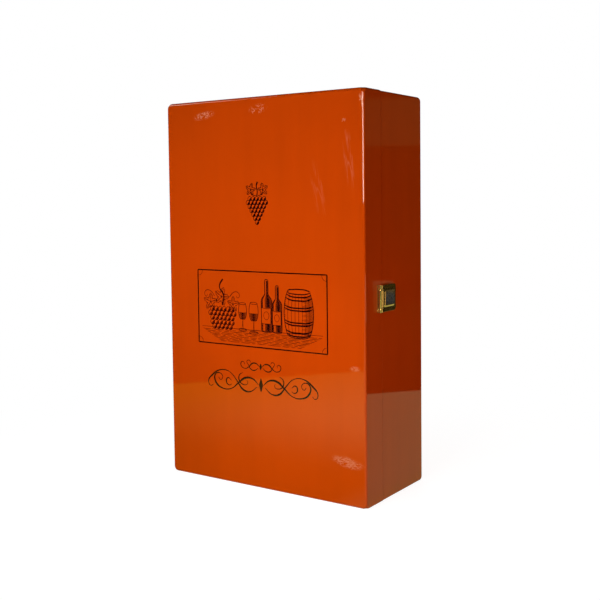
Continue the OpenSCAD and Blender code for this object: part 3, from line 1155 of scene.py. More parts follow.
@dataclass
class InkSheet:
    """One printed motif, drawn with pen strokes and laid on the lid's front.

    Attributes:
        name: The piece's name.
        x: Middle of the motif, in millimetres from the middle of the lid.
        z: Middle of the motif, in millimetres above the floor.
        weight: How much bolder than drawn the pen is.
        rise: Height of the ink, as a share of a stroke's half width.
    """

    name: str
    x: float
    z: float
    weight: float = 1.0
    rise: float = 0.06
    strokes: list[tuple[list[PenPoint], bool]] = field(default_factory=list)

    def stroke(self, points: Iterable[PenPoint], closed: bool = False) -> None:
        """Draw a smooth line.

        Args:
            points: Its points, each with the pen's half width, in millimetres.
            closed: Whether it ends where it starts.
        """
        self.strokes.append((list(points), closed))

    def line(self, points: Iterable[Point], half: float, closed: bool = False) -> None:
        """Draw a line of even width, which fades at free ends.

        Args:
            points: Its points, in millimetres.
            half: The pen's half width.
            closed: Whether it ends where it starts.
        """
        listed = list(points)
        last = len(listed) - 1
        ends = () if closed else (0, last)
        self.stroke(
            [(x, z, half * (0.55 if i in ends else 1.0)) for i, (x, z) in enumerate(listed)],
            closed,
        )

    def oval(self, x: float, z: float, rx: float, rz: float, half: float,
             start: float = 0.0, end: float = 360.0) -> None:
        """Draw an oval or a part of one.

        Args:
            x: Its middle.
            z: Its middle.
            rx: Its half width.
            rz: Its half height.
            half: The pen's half width.
            start: The first angle, in degrees from the right.
            end: The last angle.
        """
        closed = end - start >= 360.0
        steps = max(4, round((end - start) / 40.0))
        count = steps if closed else steps + 1
        angles = [math.radians(start + (end - start) * i / steps) for i in range(count)]
        self.line(
            [(x + rx * math.cos(a), z + rz * math.sin(a)) for a in angles], half, closed
        )

    def hatch(self, span: Callable[[float], Point | None], z_low: float, z_high: float,
              pitch: float, half: float, sag: float = 0.0) -> None:
        """Fill a shape with level lines.

        Args:
            span: Gives the left and right end of the shape at a height, or None.
            z_low: The lowest line.
            z_high: The highest line.
            pitch: Distance between lines.
            half: The pen's half width.
            sag: How far each line hangs in its middle.
        """
        for i in range(int((z_high - z_low) / pitch) + 1):
            z = z_low + i * pitch
            ends = span(z)
            if ends is None or ends[1] - ends[0] < 3 * half:
                continue
            middle = (ends[0] + ends[1]) / 2
            self.line([(ends[0], z), (middle, z - sag), (ends[1], z)], half)

    def press(self, face_y: float, ink: Material) -> None:
        """Lay the motif on the lid.

        Args:
            face_y: The front face, in metres.
            ink: The ink.
        """
        curve = bpy.data.curves.new(self.name, "CURVE")
        curve.dimensions = "3D"
        curve.bevel_depth = MM
        curve.bevel_resolution = 1
        curve.resolution_u = 5
        curve.use_fill_caps = True
        for points, closed in self.strokes:
            spline = curve.splines.new("BEZIER")
            spline.bezier_points.add(len(points) - 1)
            spline.use_cyclic_u = closed
            for knot, (x, z, half) in zip(spline.bezier_points, points):
                knot.co = ((self.x + x) * MM, 0.0, (self.z + z) * MM)
                knot.radius = half * self.weight
                knot.handle_left_type = "AUTO"
                knot.handle_right_type = "AUTO"
        drawn = bpy.data.objects.new(self.name + "_strokes", curve)
        bpy.context.scene.collection.objects.link(drawn)
        shown = drawn.evaluated_get(bpy.context.evaluated_depsgraph_get())
        mesh = bpy.data.meshes.new_from_object(shown)
        bpy.data.objects.remove(drawn)
        bpy.data.curves.remove(curve)
        mesh.name = self.name
        mesh.shade_flat()
        mesh.transform(
            Matrix.Translation((0, face_y, 0)) @ Matrix.Diagonal((1, self.rise, 1, 1))
        )
        add_piece(self.name, mesh, ink, Body.LID)


def grape_bunch(sheet: InkSheet, x: float, z: float, rows: tuple[int, ...], r: float) -> None:
    """Draw a bunch of grapes, row by row from the top.

    Args:
        sheet: Where it is drawn.
        x: Middle of its top row.
        z: Middle of its top row.
        rows: Grapes in each row.
        r: Radius of a grape.
    """
    for row, count in enumerate(rows):
        for i in range(count):
            cx = x + (i - (count - 1) / 2) * 1.86 * r
            cz = z - row * 1.62 * r
            sheet.oval(cx, cz, r * 0.92, r * 0.92, 0.21)
            for share in (0.74, 0.52, 0.3):
                sheet.oval(cx, cz, r * share, r * share, 0.2, -125.0, 45.0)
            sheet.oval(cx, cz, r * 0.12, r * 0.12, 0.2, -100.0, 40.0)


def leaf_edge(angle: float) -> float:
    """Return the radius of a vine leaf's edge, as a share of its size.

    Args:
        angle: Direction from the leaf's middle, in radians from its tip.
    """
    lobes = 0.74 + 0.24 * math.cos(5 * angle)
    teeth = 0.045 * math.cos(25 * angle)
    return (lobes + teeth) * (1.0 - 0.12 * (1 - math.cos(angle)) / 2)


def vine_leaf(sheet: InkSheet, x: float, z: float, size: float, turn: float) -> None:
    """Draw a vine leaf with its veins and a shaded half.

    Args:
        sheet: Where it is drawn.
        x: Its middle.
        z: Its middle.
        size: Its radius.
        turn: Direction of its tip, in degrees from the right.
    """
    base = math.radians(turn)
    steps = 50
    edge = []
    for i in range(steps):
        a = math.tau * i / steps
        reach = size * leaf_edge(a)
        edge.append((x + reach * math.cos(base + a), z + reach * math.sin(base + a)))
    sheet.line(edge, 0.2, True)
    for lobe in range(5):
        a = math.tau * lobe / 5
        reach = 0.86 * size * leaf_edge(a)
        tip = (x + reach * math.cos(base + a), z + reach * math.sin(base + a))
        sheet.stroke([(x, z, 0.24), (tip[0], tip[1], 0.1)])
        for side in (-1, 1):
            for share in (0.35, 0.55, 0.75):
                b = base + a + side * 0.32
                start = (x + (tip[0] - x) * share, z + (tip[1] - z) * share)
                run = size * 0.26
                sheet.line(
                    [start, (start[0] + run * math.cos(b), start[1] + run * math.sin(b))], 0.13
                )


def tendril(sheet: InkSheet, x: float, z: float, size: float, turn: float, hand: int) -> None:
    """Draw a curling tendril.

    Args:
        sheet: Where it is drawn.
        x: Where it starts.
        z: Where it starts.
        size: How far it reaches.
        turn: Direction in which it starts, in degrees from the right.
        hand: 1 to curl to the left, -1 to the right.
    """
    points = []
    heading = math.radians(turn)
    px, pz = x, z
    steps = 14
    for i in range(steps):
        share = i / (steps - 1)
        points.append((px, pz, 0.26 - 0.14 * share))
        step = size * (0.16 - 0.12 * share)
        heading += hand * (0.12 + 0.75 * share)
        px += step * math.cos(heading)
        pz += step * math.sin(heading)
    sheet.stroke(points)


@dataclass
class FrontPrint:
    """The print on the lid: emblem, framed still life and two pen flourishes.

    All places are in millimetres, from the middle of the lid and from the floor.
    """

    emblem_x: float = -2.8
    emblem_z: float = 256.0
    frame_low: Point = (-72.6, 127.8)
    frame_high: Point = (70.2, 195.3)
    frame_half: float = 0.62
    small_flourish: Point = (-1.2, 110.5)
    large_flourish: Point = (-1.0, 94.0)

    def build(self, face_y: float, finishes: Finishes) -> None:
        """Print everything.

        Args:
            face_y: The front face, in metres.
            finishes: The finishes of the box.
        """
        for sheet in (self._emblem(), self._border(), self._still_life(), self._pen_work()):
            sheet.press(face_y, finishes["ink"])

    def _emblem(self) -> InkSheet:
        """Draw a bunch of grapes under two leaves and return the sheet."""
        sheet = InkSheet("print_emblem", self.emblem_x, self.emblem_z, 1.45)
        grape_bunch(sheet, 0.0, 4.2, (5, 6, 5, 4, 3, 2, 1), 2.15)
        vine_leaf(sheet, -6.6, 12.2, 6.0, 150.0)
        vine_leaf(sheet, 6.6, 12.2, 6.0, 30.0)
        sheet.stroke([(0.0, 6.0, 0.5), (0.5, 11.0, 0.45), (-0.4, 15.5, 0.5), (0.8, 19.0, 0.7)])
        for hand in (-1, 1):
            tendril(sheet, hand * 1.0, 7.0, 9.5, 90 - hand * 95, hand)
        return sheet

    def _border(self) -> InkSheet:
        """Draw the frame, with stepped-in corners, and return the sheet."""
        left, low = self.frame_low
        right, high = self.frame_high
        x, z = (left + right) / 2, (low + high) / 2
        sheet = InkSheet("print_border", x, z)
        half_w, half_h = (right - left) / 2, (high - low) / 2
        for sx, sz in ((1, 1), (-1, 1), (-1, -1), (1, -1)):
            sheet.stroke(
                [(-sx * half_w, sz * half_h, self.frame_half), (sx * half_w, sz * half_h, self.frame_half)]
            )
            sheet.stroke(
                [(sx * half_w, -sz * half_h, self.frame_half), (sx * half_w, sz * half_h, self.frame_half)]
            )
            sheet.oval(
                sx * (half_w - 0.2), sz * (half_h - 0.2), 5.2, 5.2, 0.2,
                {(1, 1): 180, (-1, 1): 270, (-1, -1): 0, (1, -1): 90}[(sx, sz)],
                {(1, 1): 270, (-1, 1): 360, (-1, -1): 90, (1, -1): 180}[(sx, sz)],
            )
        return sheet

    def _still_life(self) -> InkSheet:
        """Draw a cask, bottles, glasses and grapes on a table and return the sheet."""
        left, low = self.frame_low
        right, high = self.frame_high
        sheet = InkSheet("print_still_life", (left + right) / 2, (low + high) / 2, 1.4)
        table = -20.0
        self._table(sheet, table)
        self._cask(sheet, 42.0, table, 38.0, 12.0, 15.5)
        for x, tall in ((7.5, 46.0), (19.0, 41.0)):
            self._bottle(sheet, x, table + 1.0, tall)
        self._glass(sheet, -7.0, table - 1.5, 27.0)
        self._glass(sheet, -19.5, table + 0.5, 24.0)
        grape_bunch(sheet, -43.0, -1.5, (6, 7, 6, 6, 5), 2.5)
        vine_leaf(sheet, -56.5, 4.5, 8.2, 160.0)
        vine_leaf(sheet, -43.5, 9.5, 8.8, 75.0)
        vine_leaf(sheet, -30.5, 3.5, 7.2, 15.0)
        tendril(sheet, -52.0, 10.0, 16.0, 120.0, 1)
        tendril(sheet, -34.0, 10.0, 15.0, 60.0, -1)
        sheet.stroke([(-43, 2, 0.5), (-41, 11, 0.6), (-46, 19, 0.5), (-42, 26, 0.7)])
        return sheet

    @staticmethod
    def _table(sheet: InkSheet, z: float) -> None:
        """Draw the table's edge and its shaded front."""
        sheet.line([(-67.0, z + 1.5), (0.0, z + 1.2), (67.0, z + 1.5)], 0.24)
        for row in range(9):
            level = z - 0.6 - row * 1.25
            reach = 66.0 - row * 2.6
            start = -reach
            lap = 0
            while start < reach:
                length = 9.0 + 5.0 * math.sin(2.3 * row + 1.7 * lap)
                end = min(start + length, reach)
                sheet.line([(start, level), ((start + end) / 2, level - 0.25), (end, level)], 0.2)
                start = end + 1.2 + 1.0 * math.sin(1.1 * row + 2.9 * lap) ** 2
                lap += 1

    @staticmethod
    def _cask(sheet: InkSheet, x: float, z: float, tall: float, end_r: float, belly_r: float) -> None:
        """Draw a standing cask with staves, hoops and a shaded side."""
        tilt = 2.4

        def side(level: float) -> float:
            """Return the cask's half width at a height."""
            share = 2 * (level - z) / tall - 1
            return end_r + (belly_r - end_r) * (1 - share * share)

        rows = [z + tall * i / 8 for i in range(9)]
        for hand in (-1, 1):
            sheet.line([(x + hand * side(level), level) for level in rows], 0.3)
        sheet.oval(x, z + tall, end_r, tilt, 0.28)
        sheet.oval(x, z + tall, end_r - 1.2, tilt - 0.5, 0.16)
        sheet.oval(x, z, end_r, tilt, 0.3, 180.0, 360.0)
        for stave in range(-3, 4):
            share = stave / 4
            drop = tilt * math.sqrt(1 - share * share)
            sheet.line([(x + share * side(level), level - drop) for level in rows], 0.16)
        for hoop in (0.05, 0.13, 0.3, 0.36, 0.64, 0.7, 0.87, 0.95):
            level = z + hoop * tall
            for part in range(3):
                sheet.oval(x, level - part * 0.42, side(level), tilt, 0.2, 180.0, 360.0)
        for band in range(44):
            level = z + 1.0 + band * (tall - 2) / 44
            reach = side(level)
            sheet.oval(x, level, reach, tilt, 0.15, 292.0 + 9 * math.sin(band * 1.3), 357.0)
            if band % 2:
                sheet.oval(x, level, reach, tilt, 0.13, 184.0, 205.0 + 6 * math.sin(band))

    @staticmethod
    def _bottle(sheet: InkSheet, x: float, z: float, tall: float) -> None:
        """Draw a standing bottle with a bare label."""
        wide, neck = 0.125 * tall, 0.04 * tall
        shoulder, collar = 0.6 * tall, 0.74 * tall

        def half_at(level: float) -> float:
            """Return the bottle's half width at a height above its foot."""
            if level < shoulder:
                return wide
            share = min(1.0, (level - shoulder) / (collar - shoulder))
            return wide + (neck - wide) * share * share * (3 - 2 * share)

        rows = [tall * i / 22 for i in range(23)]
        for hand in (-1, 1):
            sheet.line([(x + hand * half_at(level), z + level) for level in rows], 0.3)
        sheet.line([(x - wide, z), (x, z - 0.7), (x + wide, z)], 0.3)
        sheet.line([(x - neck, z + tall), (x, z + tall + 0.3), (x + neck, z + tall)], 0.4)
        label_low, label_high = 0.16 * tall, 0.46 * tall

        def dark(level: float) -> Point | None:
            """Return the shaded stretch at a height."""
            above = level - z
            reach = half_at(above)
            if label_low < above < label_high:
                return (x + reach * 0.72, x + reach * 0.96)
            return (x - reach * 0.35, x + reach * 0.96)

        sheet.hatch(dark, z + 0.5, z + tall - 0.8, 0.5, 0.22)

        def rim(level: float) -> Point | None:
            """Return the shaded stretch left of the highlight at a height."""
            above = level - z
            reach = half_at(above)
            if label_low < above < label_high:
                return None
            return (x - reach * 0.96, x - reach * 0.66)

        sheet.hatch(rim, z + 0.5, z + tall - 0.8, 0.5, 0.2)
        for level in (label_low, label_high):
            sheet.line([(x - wide, z + level), (x, z + level - 0.6), (x + wide, z + level)], 0.24)
        sheet.oval(x - 0.4, z + (label_low + label_high) / 2, wide * 0.5, wide * 0.62, 0.16)

    @staticmethod
    def _glass(sheet: InkSheet, x: float, z: float, tall: float) -> None:
        """Draw a stemmed glass, half full."""
        wide = 0.19 * tall
        base, bowl = 0.4 * tall, 0.6 * tall

        def half_at(share: float) -> float:
            """Return the bowl's half width at a share of its height."""
            return wide * (math.sin(math.pi * min(1.0, 0.12 + 0.62 * share ** 0.8)) ** 0.8)

        rows = [i / 10 for i in range(11)]
        for hand in (-1, 1):
            sheet.line([(x + hand * half_at(s), z + base + bowl * s) for s in rows], 0.24)
            sheet.line([(x + hand * 0.4, z + base), (x + hand * 0.35, z + base / 2), (x + hand * 0.9, z + 0.8)], 0.2)
        sheet.oval(x, z + tall, half_at(1.0), 0.9, 0.2)
        sheet.oval(x, z + 0.5, wide * 0.95, 1.1, 0.24)

        def wine(level: float) -> Point | None:
            """Return the filled stretch at a height."""
            share = (level - z - base) / bowl
            reach = half_at(share)
            return (x - reach * 0.9, x + reach * 0.93)

        sheet.hatch(wine, z + base + 0.6, z + base + 0.46 * bowl, 0.5, 0.2, 0.35)

    def _pen_work(self) -> InkSheet:
        """Draw the two flourishes and return the sheet."""
        sheet = InkSheet("print_flourishes", 0.0, 0.0, 1.25)
        x, z = self.small_flourish
        for hand in (-1, 1):
            self._swash(sheet, x, z, hand, (
                (1.6, 0.2, 0.25), (5.0, 2.6, 0.5), (9.5, 2.2, 0.62), (13.5, -1.4, 0.4),
                (18.0, -2.9, 0.3), (22.0, -0.6, 0.45), (21.6, 2.6, 0.35), (18.6, 2.6, 0.25),
                (18.4, 0.6, 0.22),
            ))
            self._swash(sheet, x, z, hand, (
                (2.6, -1.2, 0.2), (6.4, -3.6, 0.4), (10.6, -3.2, 0.5), (13.6, 0.6, 0.34),
                (15.4, 3.9, 0.24), (12.6, 4.9, 0.3), (11.2, 3.2, 0.22),
            ))
        self._lozenge(sheet, x, z, 1.5, 3.6)
        x, z = self.large_flourish
        for hand in (-1, 1):
            self._swash(sheet, x, z, hand, (
                (2.8, 0.2, 0.3), (9.0, 4.8, 0.7), (17.5, 5.0, 0.95), (26.0, -0.8, 0.7),
                (34.0, -6.4, 0.4), (44.0, -7.2, 0.6), (52.0, -2.4, 0.9), (53.0, 4.4, 0.6),
                (47.6, 6.8, 0.4), (44.0, 3.4, 0.34), (46.6, 0.6, 0.3), (48.8, 2.8, 0.28),
            ))
            self._swash(sheet, x, z, hand, (
                (4.6, -2.0, 0.24), (11.6, -6.8, 0.55), (20.0, -6.2, 0.85), (27.4, 1.6, 0.55),
                (35.6, 8.8, 0.34), (46.0, 9.8, 0.45), (56.0, 4.2, 0.8), (61.0, -2.2, 0.5),
                (58.4, -6.2, 0.34), (55.2, -4.4, 0.26),
            ))
            self._swash(sheet, x, z, hand, (
                (20.6, 9.6, 0.2), (24.6, 6.6, 0.5), (24.2, 1.4, 0.66), (19.6, -1.4, 0.4),
                (15.0, 0.2, 0.28), (15.8, 3.0, 0.24),
            ))
            self._swash(sheet, x, z, hand, (
                (33.6, 1.0, 0.2), (37.8, 3.2, 0.5), (39.6, -0.8, 0.62), (36.4, -3.4, 0.36),
                (33.4, -2.2, 0.22),
            ))
        self._lozenge(sheet, x, z, 2.4, 7.0)
        return sheet

    @staticmethod
    def _swash(sheet: InkSheet, x: float, z: float, hand: int, points: tuple[PenPoint, ...]) -> None:
        """Draw one pen stroke of a flourish, or its mirror image."""
        sheet.stroke([(x + hand * px, z + pz, half) for px, pz, half in points])

    @staticmethod
    def _lozenge(sheet: InkSheet, x: float, z: float, wide: float, tall: float) -> None:
        """Draw the small filled lozenge in the middle of a flourish."""

        def span(level: float) -> Point:
            """Return the lozenge's ends at a height."""
            reach = wide * (1 - abs(level - z) / tall)
            return (x - reach, x + reach)

        sheet.hatch(span, z - tall, z + tall, 0.32, 0.24)


@dataclass(frozen=True)
class Panel:
    """A flat, upright lamp or card of the studio, turned to the middle of the box.

    Attributes:
        name: Its name.
        azimuth: Direction from the box, in degrees from the front towards the right.
        distance: Distance from the box's axis, in metres.
        low: Height of its lower edge.
        high: Height of its upper edge.
        width: Its width.
        strength: Power in watts for a lamp, brightness for a card.
        colour: Its colour.
    """

    name: str
    azimuth: float
    distance: float
    low: float
    high: float
    width: float
    strength: float
    colour: tuple[float, float, float] = (1.0, 1.0, 1.0)

    def place(self) -> Matrix:
        """Return where the panel stands, facing the middle of the box."""
        a = math.radians(self.azimuth)
        middle = (self.low + self.high) / 2
        spot = Vector((self.distance * math.sin(a), -self.distance * math.cos(a), middle))
        aim = Vector((0, 0, cad_high.z / 2)) - spot
        return Matrix.Translation(spot) @ aim.to_track_quat("-Z", "Y").to_matrix().to_4x4()

    def shine(self) -> None:
        """Make the panel a lamp, which the gloss doesn't show."""
        data = bpy.data.lights.new(self.name, "AREA")
        data.shape = "RECTANGLE"
        data.size = self.width
        data.size_y = self.high - self.low
        data.energy = self.strength
        data.color = self.colour
        lamp = bpy.data.objects.new(self.name, data)
        lamp.matrix_world = self.place()
        lamp.visible_glossy = False
        lamp.visible_camera = False
        bpy.context.scene.collection.objects.link(lamp)

    def reflect(self) -> None:
        """Make the panel a glowing card, which the gloss alone shows."""
        bm = bmesh.new()
        bmesh.ops.create_grid(bm, x_segments=1, y_segments=1, size=0.5)
        bmesh.ops.scale(bm, vec=(self.width, self.high - self.low, 1.0), verts=bm.verts)
        bmesh.ops.transform(bm, matrix=self.place(), verts=bm.verts)
        finish = glow(self.name + "_glow", self.colour, self.strength)
        only_reflected(stage_piece(self.name, bm, finish))


def glow(name: str, colour: tuple[float, float, float], strength: float) -> Material:
    """Return a glowing material, which lights nothing by way of another mirror."""
    material = bpy.data.materials.new(name)
    material.use_nodes = True
    tree = material.node_tree
    tree.nodes.clear()
    light = tree.nodes.new("ShaderNodeEmission")
    light.inputs["Color"].default_value = shade(colour)
    path = tree.nodes.new("ShaderNodeLightPath")
    straight = tree.nodes.new("ShaderNodeMapRange")
    tree.links.new(path.outputs["Diffuse Depth"], straight.inputs[0])
    for socket, value in zip((1, 2, 3, 4), (0.0, 1.0, strength, 0.0)):
        straight.inputs[socket].default_value = value
    tree.links.new(straight.outputs[0], light.inputs["Strength"])
    output = tree.nodes.new("ShaderNodeOutputMaterial")
    tree.links.new(light.outputs[0], output.inputs["Surface"])
    return material


def stage_piece(name: str, bm: bmesh.types.BMesh, material: Material) -> Object:
    """Put a bmesh into the scene as a part of the studio and return its object."""
    mesh = bpy.data.meshes.new(name)
    bm.to_mesh(mesh)
    bm.free()
    mesh.materials.append(material)
    piece = bpy.data.objects.new(name, mesh)
    bpy.context.scene.collection.objects.link(piece)
    return piece


def only_reflected(piece: Object) -> None:
    """Let a studio piece show in reflections alone."""
    piece.visible_camera = False
    piece.visible_diffuse = False
    piece.visible_transmission = False
    piece.visible_volume_scatter = False
    piece.visible_shadow = False


@dataclass
class Studio:
    """A pale table, a white backdrop, soft lamps and the dark room round the table.

    Attributes:
        ambient: Strength of the light from all round, in front and behind.
        table_turn: Direction of the table's long side, in degrees from the front
            towards the right.
        table_sides: How far the table reaches to the left and right of its long
            middle line, in metres.
        table_ends: How far it reaches backwards and forwards along that line.
        table_glows: What the gloss shows of the table, close in front of the box, far
            left, in the middle and to the right of the box.
        room_spread: How much larger the room is than the table.
        room_height: Height of the room, in metres.
        room_colours: The dark colours that the room reflects.
        table_colour: Colour of the table.
        table_lift: Light added to the table for the camera, so that it is white.
    """

    ambient: Point = (0.17, 0.09)
    table_turn: float = 39.7
    table_sides: Point = (-0.533, 0.479)
    table_ends: Point = (-1.3, 2.6)
    table_glows: tuple[tuple[float, float, float], ...] = (
        (0.14, 0.17, 0.0),
        (0.52, 0.58, 0.03),
        (1.15, 1.02, 0.36),
        (0.44, 0.48, 0.22),
    )
    room_spread: float = 5.0
    room_height: float = 4.0
    room_colours: tuple[tuple[float, float, float], ...] = (
        (0.004, 0.005, 0.001),
        (0.040, 0.034, 0.003),
    )
    table_colour: tuple[float, float, float] = (0.37, 0.37, 0.37)
    table_lift: float = 0.90
    lamps: tuple[Panel, ...] = (
        Panel("front_lamp", 6.0, 1.20, 0.05, 0.45, 0.45, 7.4),
        Panel("near_lamp", 6.0, 0.25, 0.10, 0.23, 0.15, 0.18),
        Panel("side_lamp", 88.0, 0.50, 0.03, 0.25, 0.20, 0.41, (1.0, 0.60, 0.38)),
        Panel("back_lamp", 206.0, 1.20, 0.10, 0.50, 0.45, 4.0),
    )
    cards: tuple[Panel, ...] = (
        Panel("right_window", 19.0, 1.40, 0.20, 1.40, 0.78, 16.0, (1.0, 0.95, 0.80)),
        Panel("left_window", -64.0, 1.6, 0.80, 1.60, 0.9, 4.6, (1.0, 0.86, 0.76)),
        Panel("gold_card", 104.0, 0.62, 0.085, 0.155, 0.16, 3.0, (1.0, 0.80, 0.50)),
        Panel("upper_card", 145.9, 1.23, 0.37, 0.47, 0.9, 0.10, (1.0, 1.0, 0.25)),
        Panel("high_card", 150.0, 0.90, 1.10, 1.50, 0.8, 2.2, (1.0, 0.9, 0.7)),
        Panel("dark_card", 139.8, 0.56, 0.090, 0.132, 0.030, 0.01, (0.6, 1.0, 0.3)),
        Panel("brown_card", 139.8, 0.56, 0.132, 0.144, 0.030, 0.25, (1.0, 0.85, 0.35)),
        Panel("blue_card", 139.8, 0.547, 0.114, 0.129, 0.022, 0.30, (0.12, 0.28, 1.0)),
    )

    def build(self) -> None:
        """Set up the studio."""
        self._world()
        self._table()
        self._surroundings()
        for lamp in self.lamps:
            lamp.shine()
        for card in self.cards:
            card.reflect()
        LOG.info("studio: %d lamps, %d cards", len(self.lamps), len(self.cards))

    @staticmethod
    def _seen(tree: bpy.types.NodeTree) -> NodeSocket:
        """Return 1 for camera, mirror and glass rays, and 0 for the others."""
        path = tree.nodes.new("ShaderNodeLightPath")
        total = path.outputs["Is Camera Ray"]
        for ray in ("Is Glossy Ray", "Is Transmission Ray"):
            largest = tree.nodes.new("ShaderNodeMath")
            largest.operation = "MAXIMUM"
            tree.links.new(total, largest.inputs[0])
            tree.links.new(path.outputs[ray], largest.inputs[1])
            total = largest.outputs[0]
        return total

    def _world(self) -> None:
        """Make the world white to the eye and in reflections, and soft as a light."""
        world = bpy.data.worlds.new("soft_room")
        world.use_nodes = True
        bpy.context.scene.world = world
        tree = world.node_tree
        tree.nodes.clear()
        place = tree.nodes.new("ShaderNodeTexCoord")
        axes = tree.nodes.new("ShaderNodeSeparateXYZ")
        tree.links.new(place.outputs["Generated"], axes.inputs[0])
        soft = tree.nodes.new("ShaderNodeMapRange")
        soft.interpolation_type = "SMOOTHSTEP"
        tree.links.new(axes.outputs["Y"], soft.inputs[0])
        for socket, value in zip((1, 2, 3, 4), (-0.5, 0.5, *self.ambient)):
            soft.inputs[socket].default_value = value
        strength = tree.nodes.new("ShaderNodeMapRange")
        tree.links.new(self._seen(tree), strength.inputs[0])
        tree.links.new(soft.outputs[0], strength.inputs[3])
        strength.inputs[4].default_value = 1.0
        background = tree.nodes.new("ShaderNodeBackground")
        background.inputs["Color"].default_value = (1.0, 1.0, 1.0, 1.0)
        tree.links.new(strength.outputs[0], background.inputs["Strength"])
        output = tree.nodes.new("ShaderNodeOutputWorld")
        tree.links.new(background.outputs[0], output.inputs["Surface"])

    def _table(self) -> None:
        """Make the pale floor, which keeps the box's shadow and turns white far off."""
        g = Graph("pale_table")
        seen = self._seen(g.tree)
        matt = g.add("ShaderNodeBsdfDiffuse", {"Color": shade(self.table_colour)})
        lift = g.add(
            "ShaderNodeEmission", {"Strength": g.calc("MULTIPLY", seen, self.table_lift)}
        )
        near = g.add("ShaderNodeAddShader", {0: matt.outputs[0], 1: lift.outputs[0]})
        white = g.add("ShaderNodeEmission", {"Strength": 1.0})
        away = g.add("ShaderNodeVectorMath", {0: g.place}, operation="LENGTH").outputs[1]
        far_off = g.calc("MULTIPLY", seen, g.fade(away, 0.12, 0.45))
        both = g.add(
            "ShaderNodeMixShader", {0: far_off, 1: near.outputs[0], 2: white.outputs[0]}
        )
        g.add("ShaderNodeOutputMaterial", {"Surface": both.outputs[0]})
        bm = bmesh.new()
        bmesh.ops.create_grid(bm, x_segments=1, y_segments=1, size=8.0)
        bmesh.ops.translate(bm, vec=(0, 0, cad_low.z), verts=bm.verts)
        stage_piece("table", bm, g.material)

    def _surroundings(self) -> None:
        """Make what the gloss shows: the table's top, and the dark room round it."""
        bm = bmesh.new()
        bmesh.ops.create_grid(bm, x_segments=1, y_segments=1, size=0.5)
        left, right = self.table_sides
        back, ahead = self.table_ends
        bmesh.ops.scale(bm, vec=(right - left, ahead - back, 1.0), verts=bm.verts)
        bmesh.ops.translate(
            bm, vec=((left + right) / 2, -(back + ahead) / 2, cad_low.z + MM), verts=bm.verts
        )
        turn = Matrix.Rotation(math.radians(self.table_turn), 3, "Z")
        bmesh.ops.rotate(bm, cent=(0, 0, 0), matrix=turn, verts=bm.verts)
        room = bm.copy()
        only_reflected(stage_piece("table_top", bm, self._top_finish()))
        bmesh.ops.delete(room, geom=room.faces[:], context="FACES_ONLY")
        rim = room.edges[:]
        for spread, rise in ((self.room_spread, 0.0), (1.0, self.room_height), (0.02, 0.0)):
            ring = bmesh.ops.extrude_edge_only(room, edges=rim)["geom"]
            verts = [v for v in ring if isinstance(v, bmesh.types.BMVert)]
            rim = [e for e in ring if isinstance(e, bmesh.types.BMEdge)]
            bmesh.ops.scale(room, vec=(spread, spread, 1.0), verts=verts)
            bmesh.ops.translate(room, vec=(0, 0, rise), verts=verts)
        only_reflected(stage_piece("dark_room", room, self._room_finish()))

    def _top_finish(self) -> Material:
        """Return the table's glow, which is dim close in front of the box."""
        g = Graph("table_glow")
        axes = g.add("ShaderNodeSeparateXYZ", {0: g.place}).outputs
        ahead = g.fade(axes["Y"], cad_low.y - 0.05, cad_low.y - 0.30)
        aside = g.fade(axes["X"], cad_high.x - 0.05, cad_high.x + 0.02)
        clear = g.calc("MAXIMUM", ahead, aside)
        close, far_left, middle, right = (shade(colour) for colour in self.table_glows)
        ahead_of_box = g.blend(g.fade(axes["X"], -0.36, 0.02), far_left, middle)
        glows = g.blend(clear, close, g.blend(aside, ahead_of_box, right))
        depth = g.add("ShaderNodeLightPath").outputs["Diffuse Depth"]
        light = g.add(
            "ShaderNodeEmission", {"Color": glows, "Strength": g.fade(depth, 0.0, 1.0, 1.0, 0.0)}
        )
        g.add("ShaderNodeOutputMaterial", {"Surface": light.outputs[0]})
        return g.material

    def _room_finish(self) -> Material:
        """Return the room's dark glow, with large dim shapes in it."""
        g = Graph("dark_room")
        dim, olive = self.room_colours
        shapes = g.fade(g.noise(0.9, 2.0), 0.42, 0.62)
        light = g.add(
            "ShaderNodeEmission", {"Color": g.blend(shapes, shade(dim), shade(olive))}
        )
        g.add("ShaderNodeOutputMaterial", {"Surface": light.outputs[0]})
        return g.material


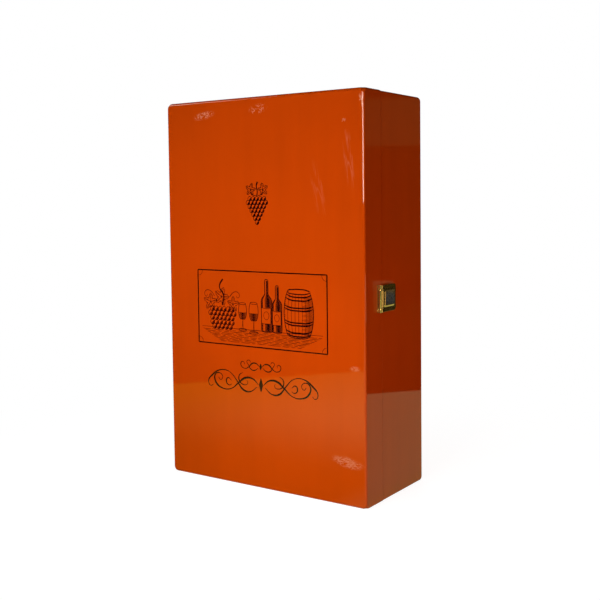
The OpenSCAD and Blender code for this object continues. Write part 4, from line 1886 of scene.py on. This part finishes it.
@dataclass(frozen=True)
class View:
    """The camera, as it stood for the picture.

    Attributes:
        place: Its place, in metres.
        yaw: Turn to the left, in degrees.
        pitch: Tilt down.
        roll: Turn about its own line of sight.
        focal_px: Focal length, in pixels of the picture.
        size_px: The picture's size.
        aside_px: How far right of the middle its line of sight meets the picture.
        down_px: How far below the middle its line of sight meets the picture.
    """

    place: tuple[float, float, float] = (0.49454, -0.70300, 0.25928)
    yaw: float = 34.32
    pitch: float = 3.324
    roll: float = -0.627
    focal_px: float = 926.08
    size_px: float = 600.0
    aside_px: float = 6.28
    down_px: float = -47.0

    def build(self) -> None:
        """Make the camera."""
        yaw, pitch, roll = (math.radians(v) for v in (self.yaw, self.pitch, self.roll))
        ahead = Vector(
            (-math.sin(yaw) * math.cos(pitch), math.cos(yaw) * math.cos(pitch), -math.sin(pitch))
        )
        right = Vector((math.cos(yaw), math.sin(yaw), 0.0))
        up = right.cross(ahead)
        across = math.cos(roll) * right + math.sin(roll) * up
        above = math.cos(roll) * up - math.sin(roll) * right
        turn = Matrix((across, above, -ahead)).transposed().to_4x4()
        data = bpy.data.cameras.new("picture_camera")
        data.sensor_width = 36.0
        data.lens = self.focal_px / self.size_px * data.sensor_width
        data.shift_x = -self.aside_px / self.size_px
        data.shift_y = self.down_px / self.size_px
        camera = bpy.data.objects.new("picture_camera", data)
        camera.matrix_world = Matrix.Translation(self.place) @ turn
        bpy.context.scene.collection.objects.link(camera)
        bpy.context.scene.camera = camera


# The last two numbers of each patch set the painted highlight along its folds' outlines.
PUCKERS = (
    FilmPucker(-61.0, 336.5, 17.0, 5.0, 8.0, 4.0, 0.5, 0.6, 0.9, 0.045),
    FilmPucker(0.0, 339.0, 14.0, 6.5, 4.0, 5.0, 0.3, 1.0, 0.6, 0.035),
    FilmPucker(104.5, 340.0, 2.4, 7.0, 12.0, 3.0, 0.5, 2.0, 0.9, 0.10),
    FilmPucker(88.0, 324.0, 3.2, 2.4, 30.0, 3.0, 0.3, 1.0, 0.8, 0.08),
    FilmPucker(93.0, 289.0, 7.0, 34.0, 6.0, 3.2, 0.05, 14.0, 0.18, 0.05),
    FilmPucker(62.0, 268.0, 9.0, 30.0, 12.0, 4.0, 0.05, 12.0, 0.10, 0.05),
    FilmPucker(97.0, 118.0, 6.0, 3.0, 0.0, 2.4, 0.2, 0.7, 0.3, 0.12),
    FilmPucker(89.0, 37.5, 21.0, 6.0, -6.0, 6.5, 0.3, 0.25, 0.45, 0.11),
)


def main() -> None:
    """Build the box's looks, from the finishes to the camera."""
    logging.basicConfig(level=logging.INFO, format="%(message)s")
    bpy.context.scene.view_settings.view_transform = "Standard"
    View().build()
    face_y = box_of("lid_front_panel")[0].y
    finishes = Finishes(face_y, PUCKERS)
    finishes.build()
    Carcass().build(finishes)
    Linings().build(finishes)
    Pad().build(finishes)
    Fittings().build(finishes)
    Hasp().build(finishes)
    FrontPrint().build(face_y, finishes)
    Studio().build()


if __name__ == "__main__":
    main()
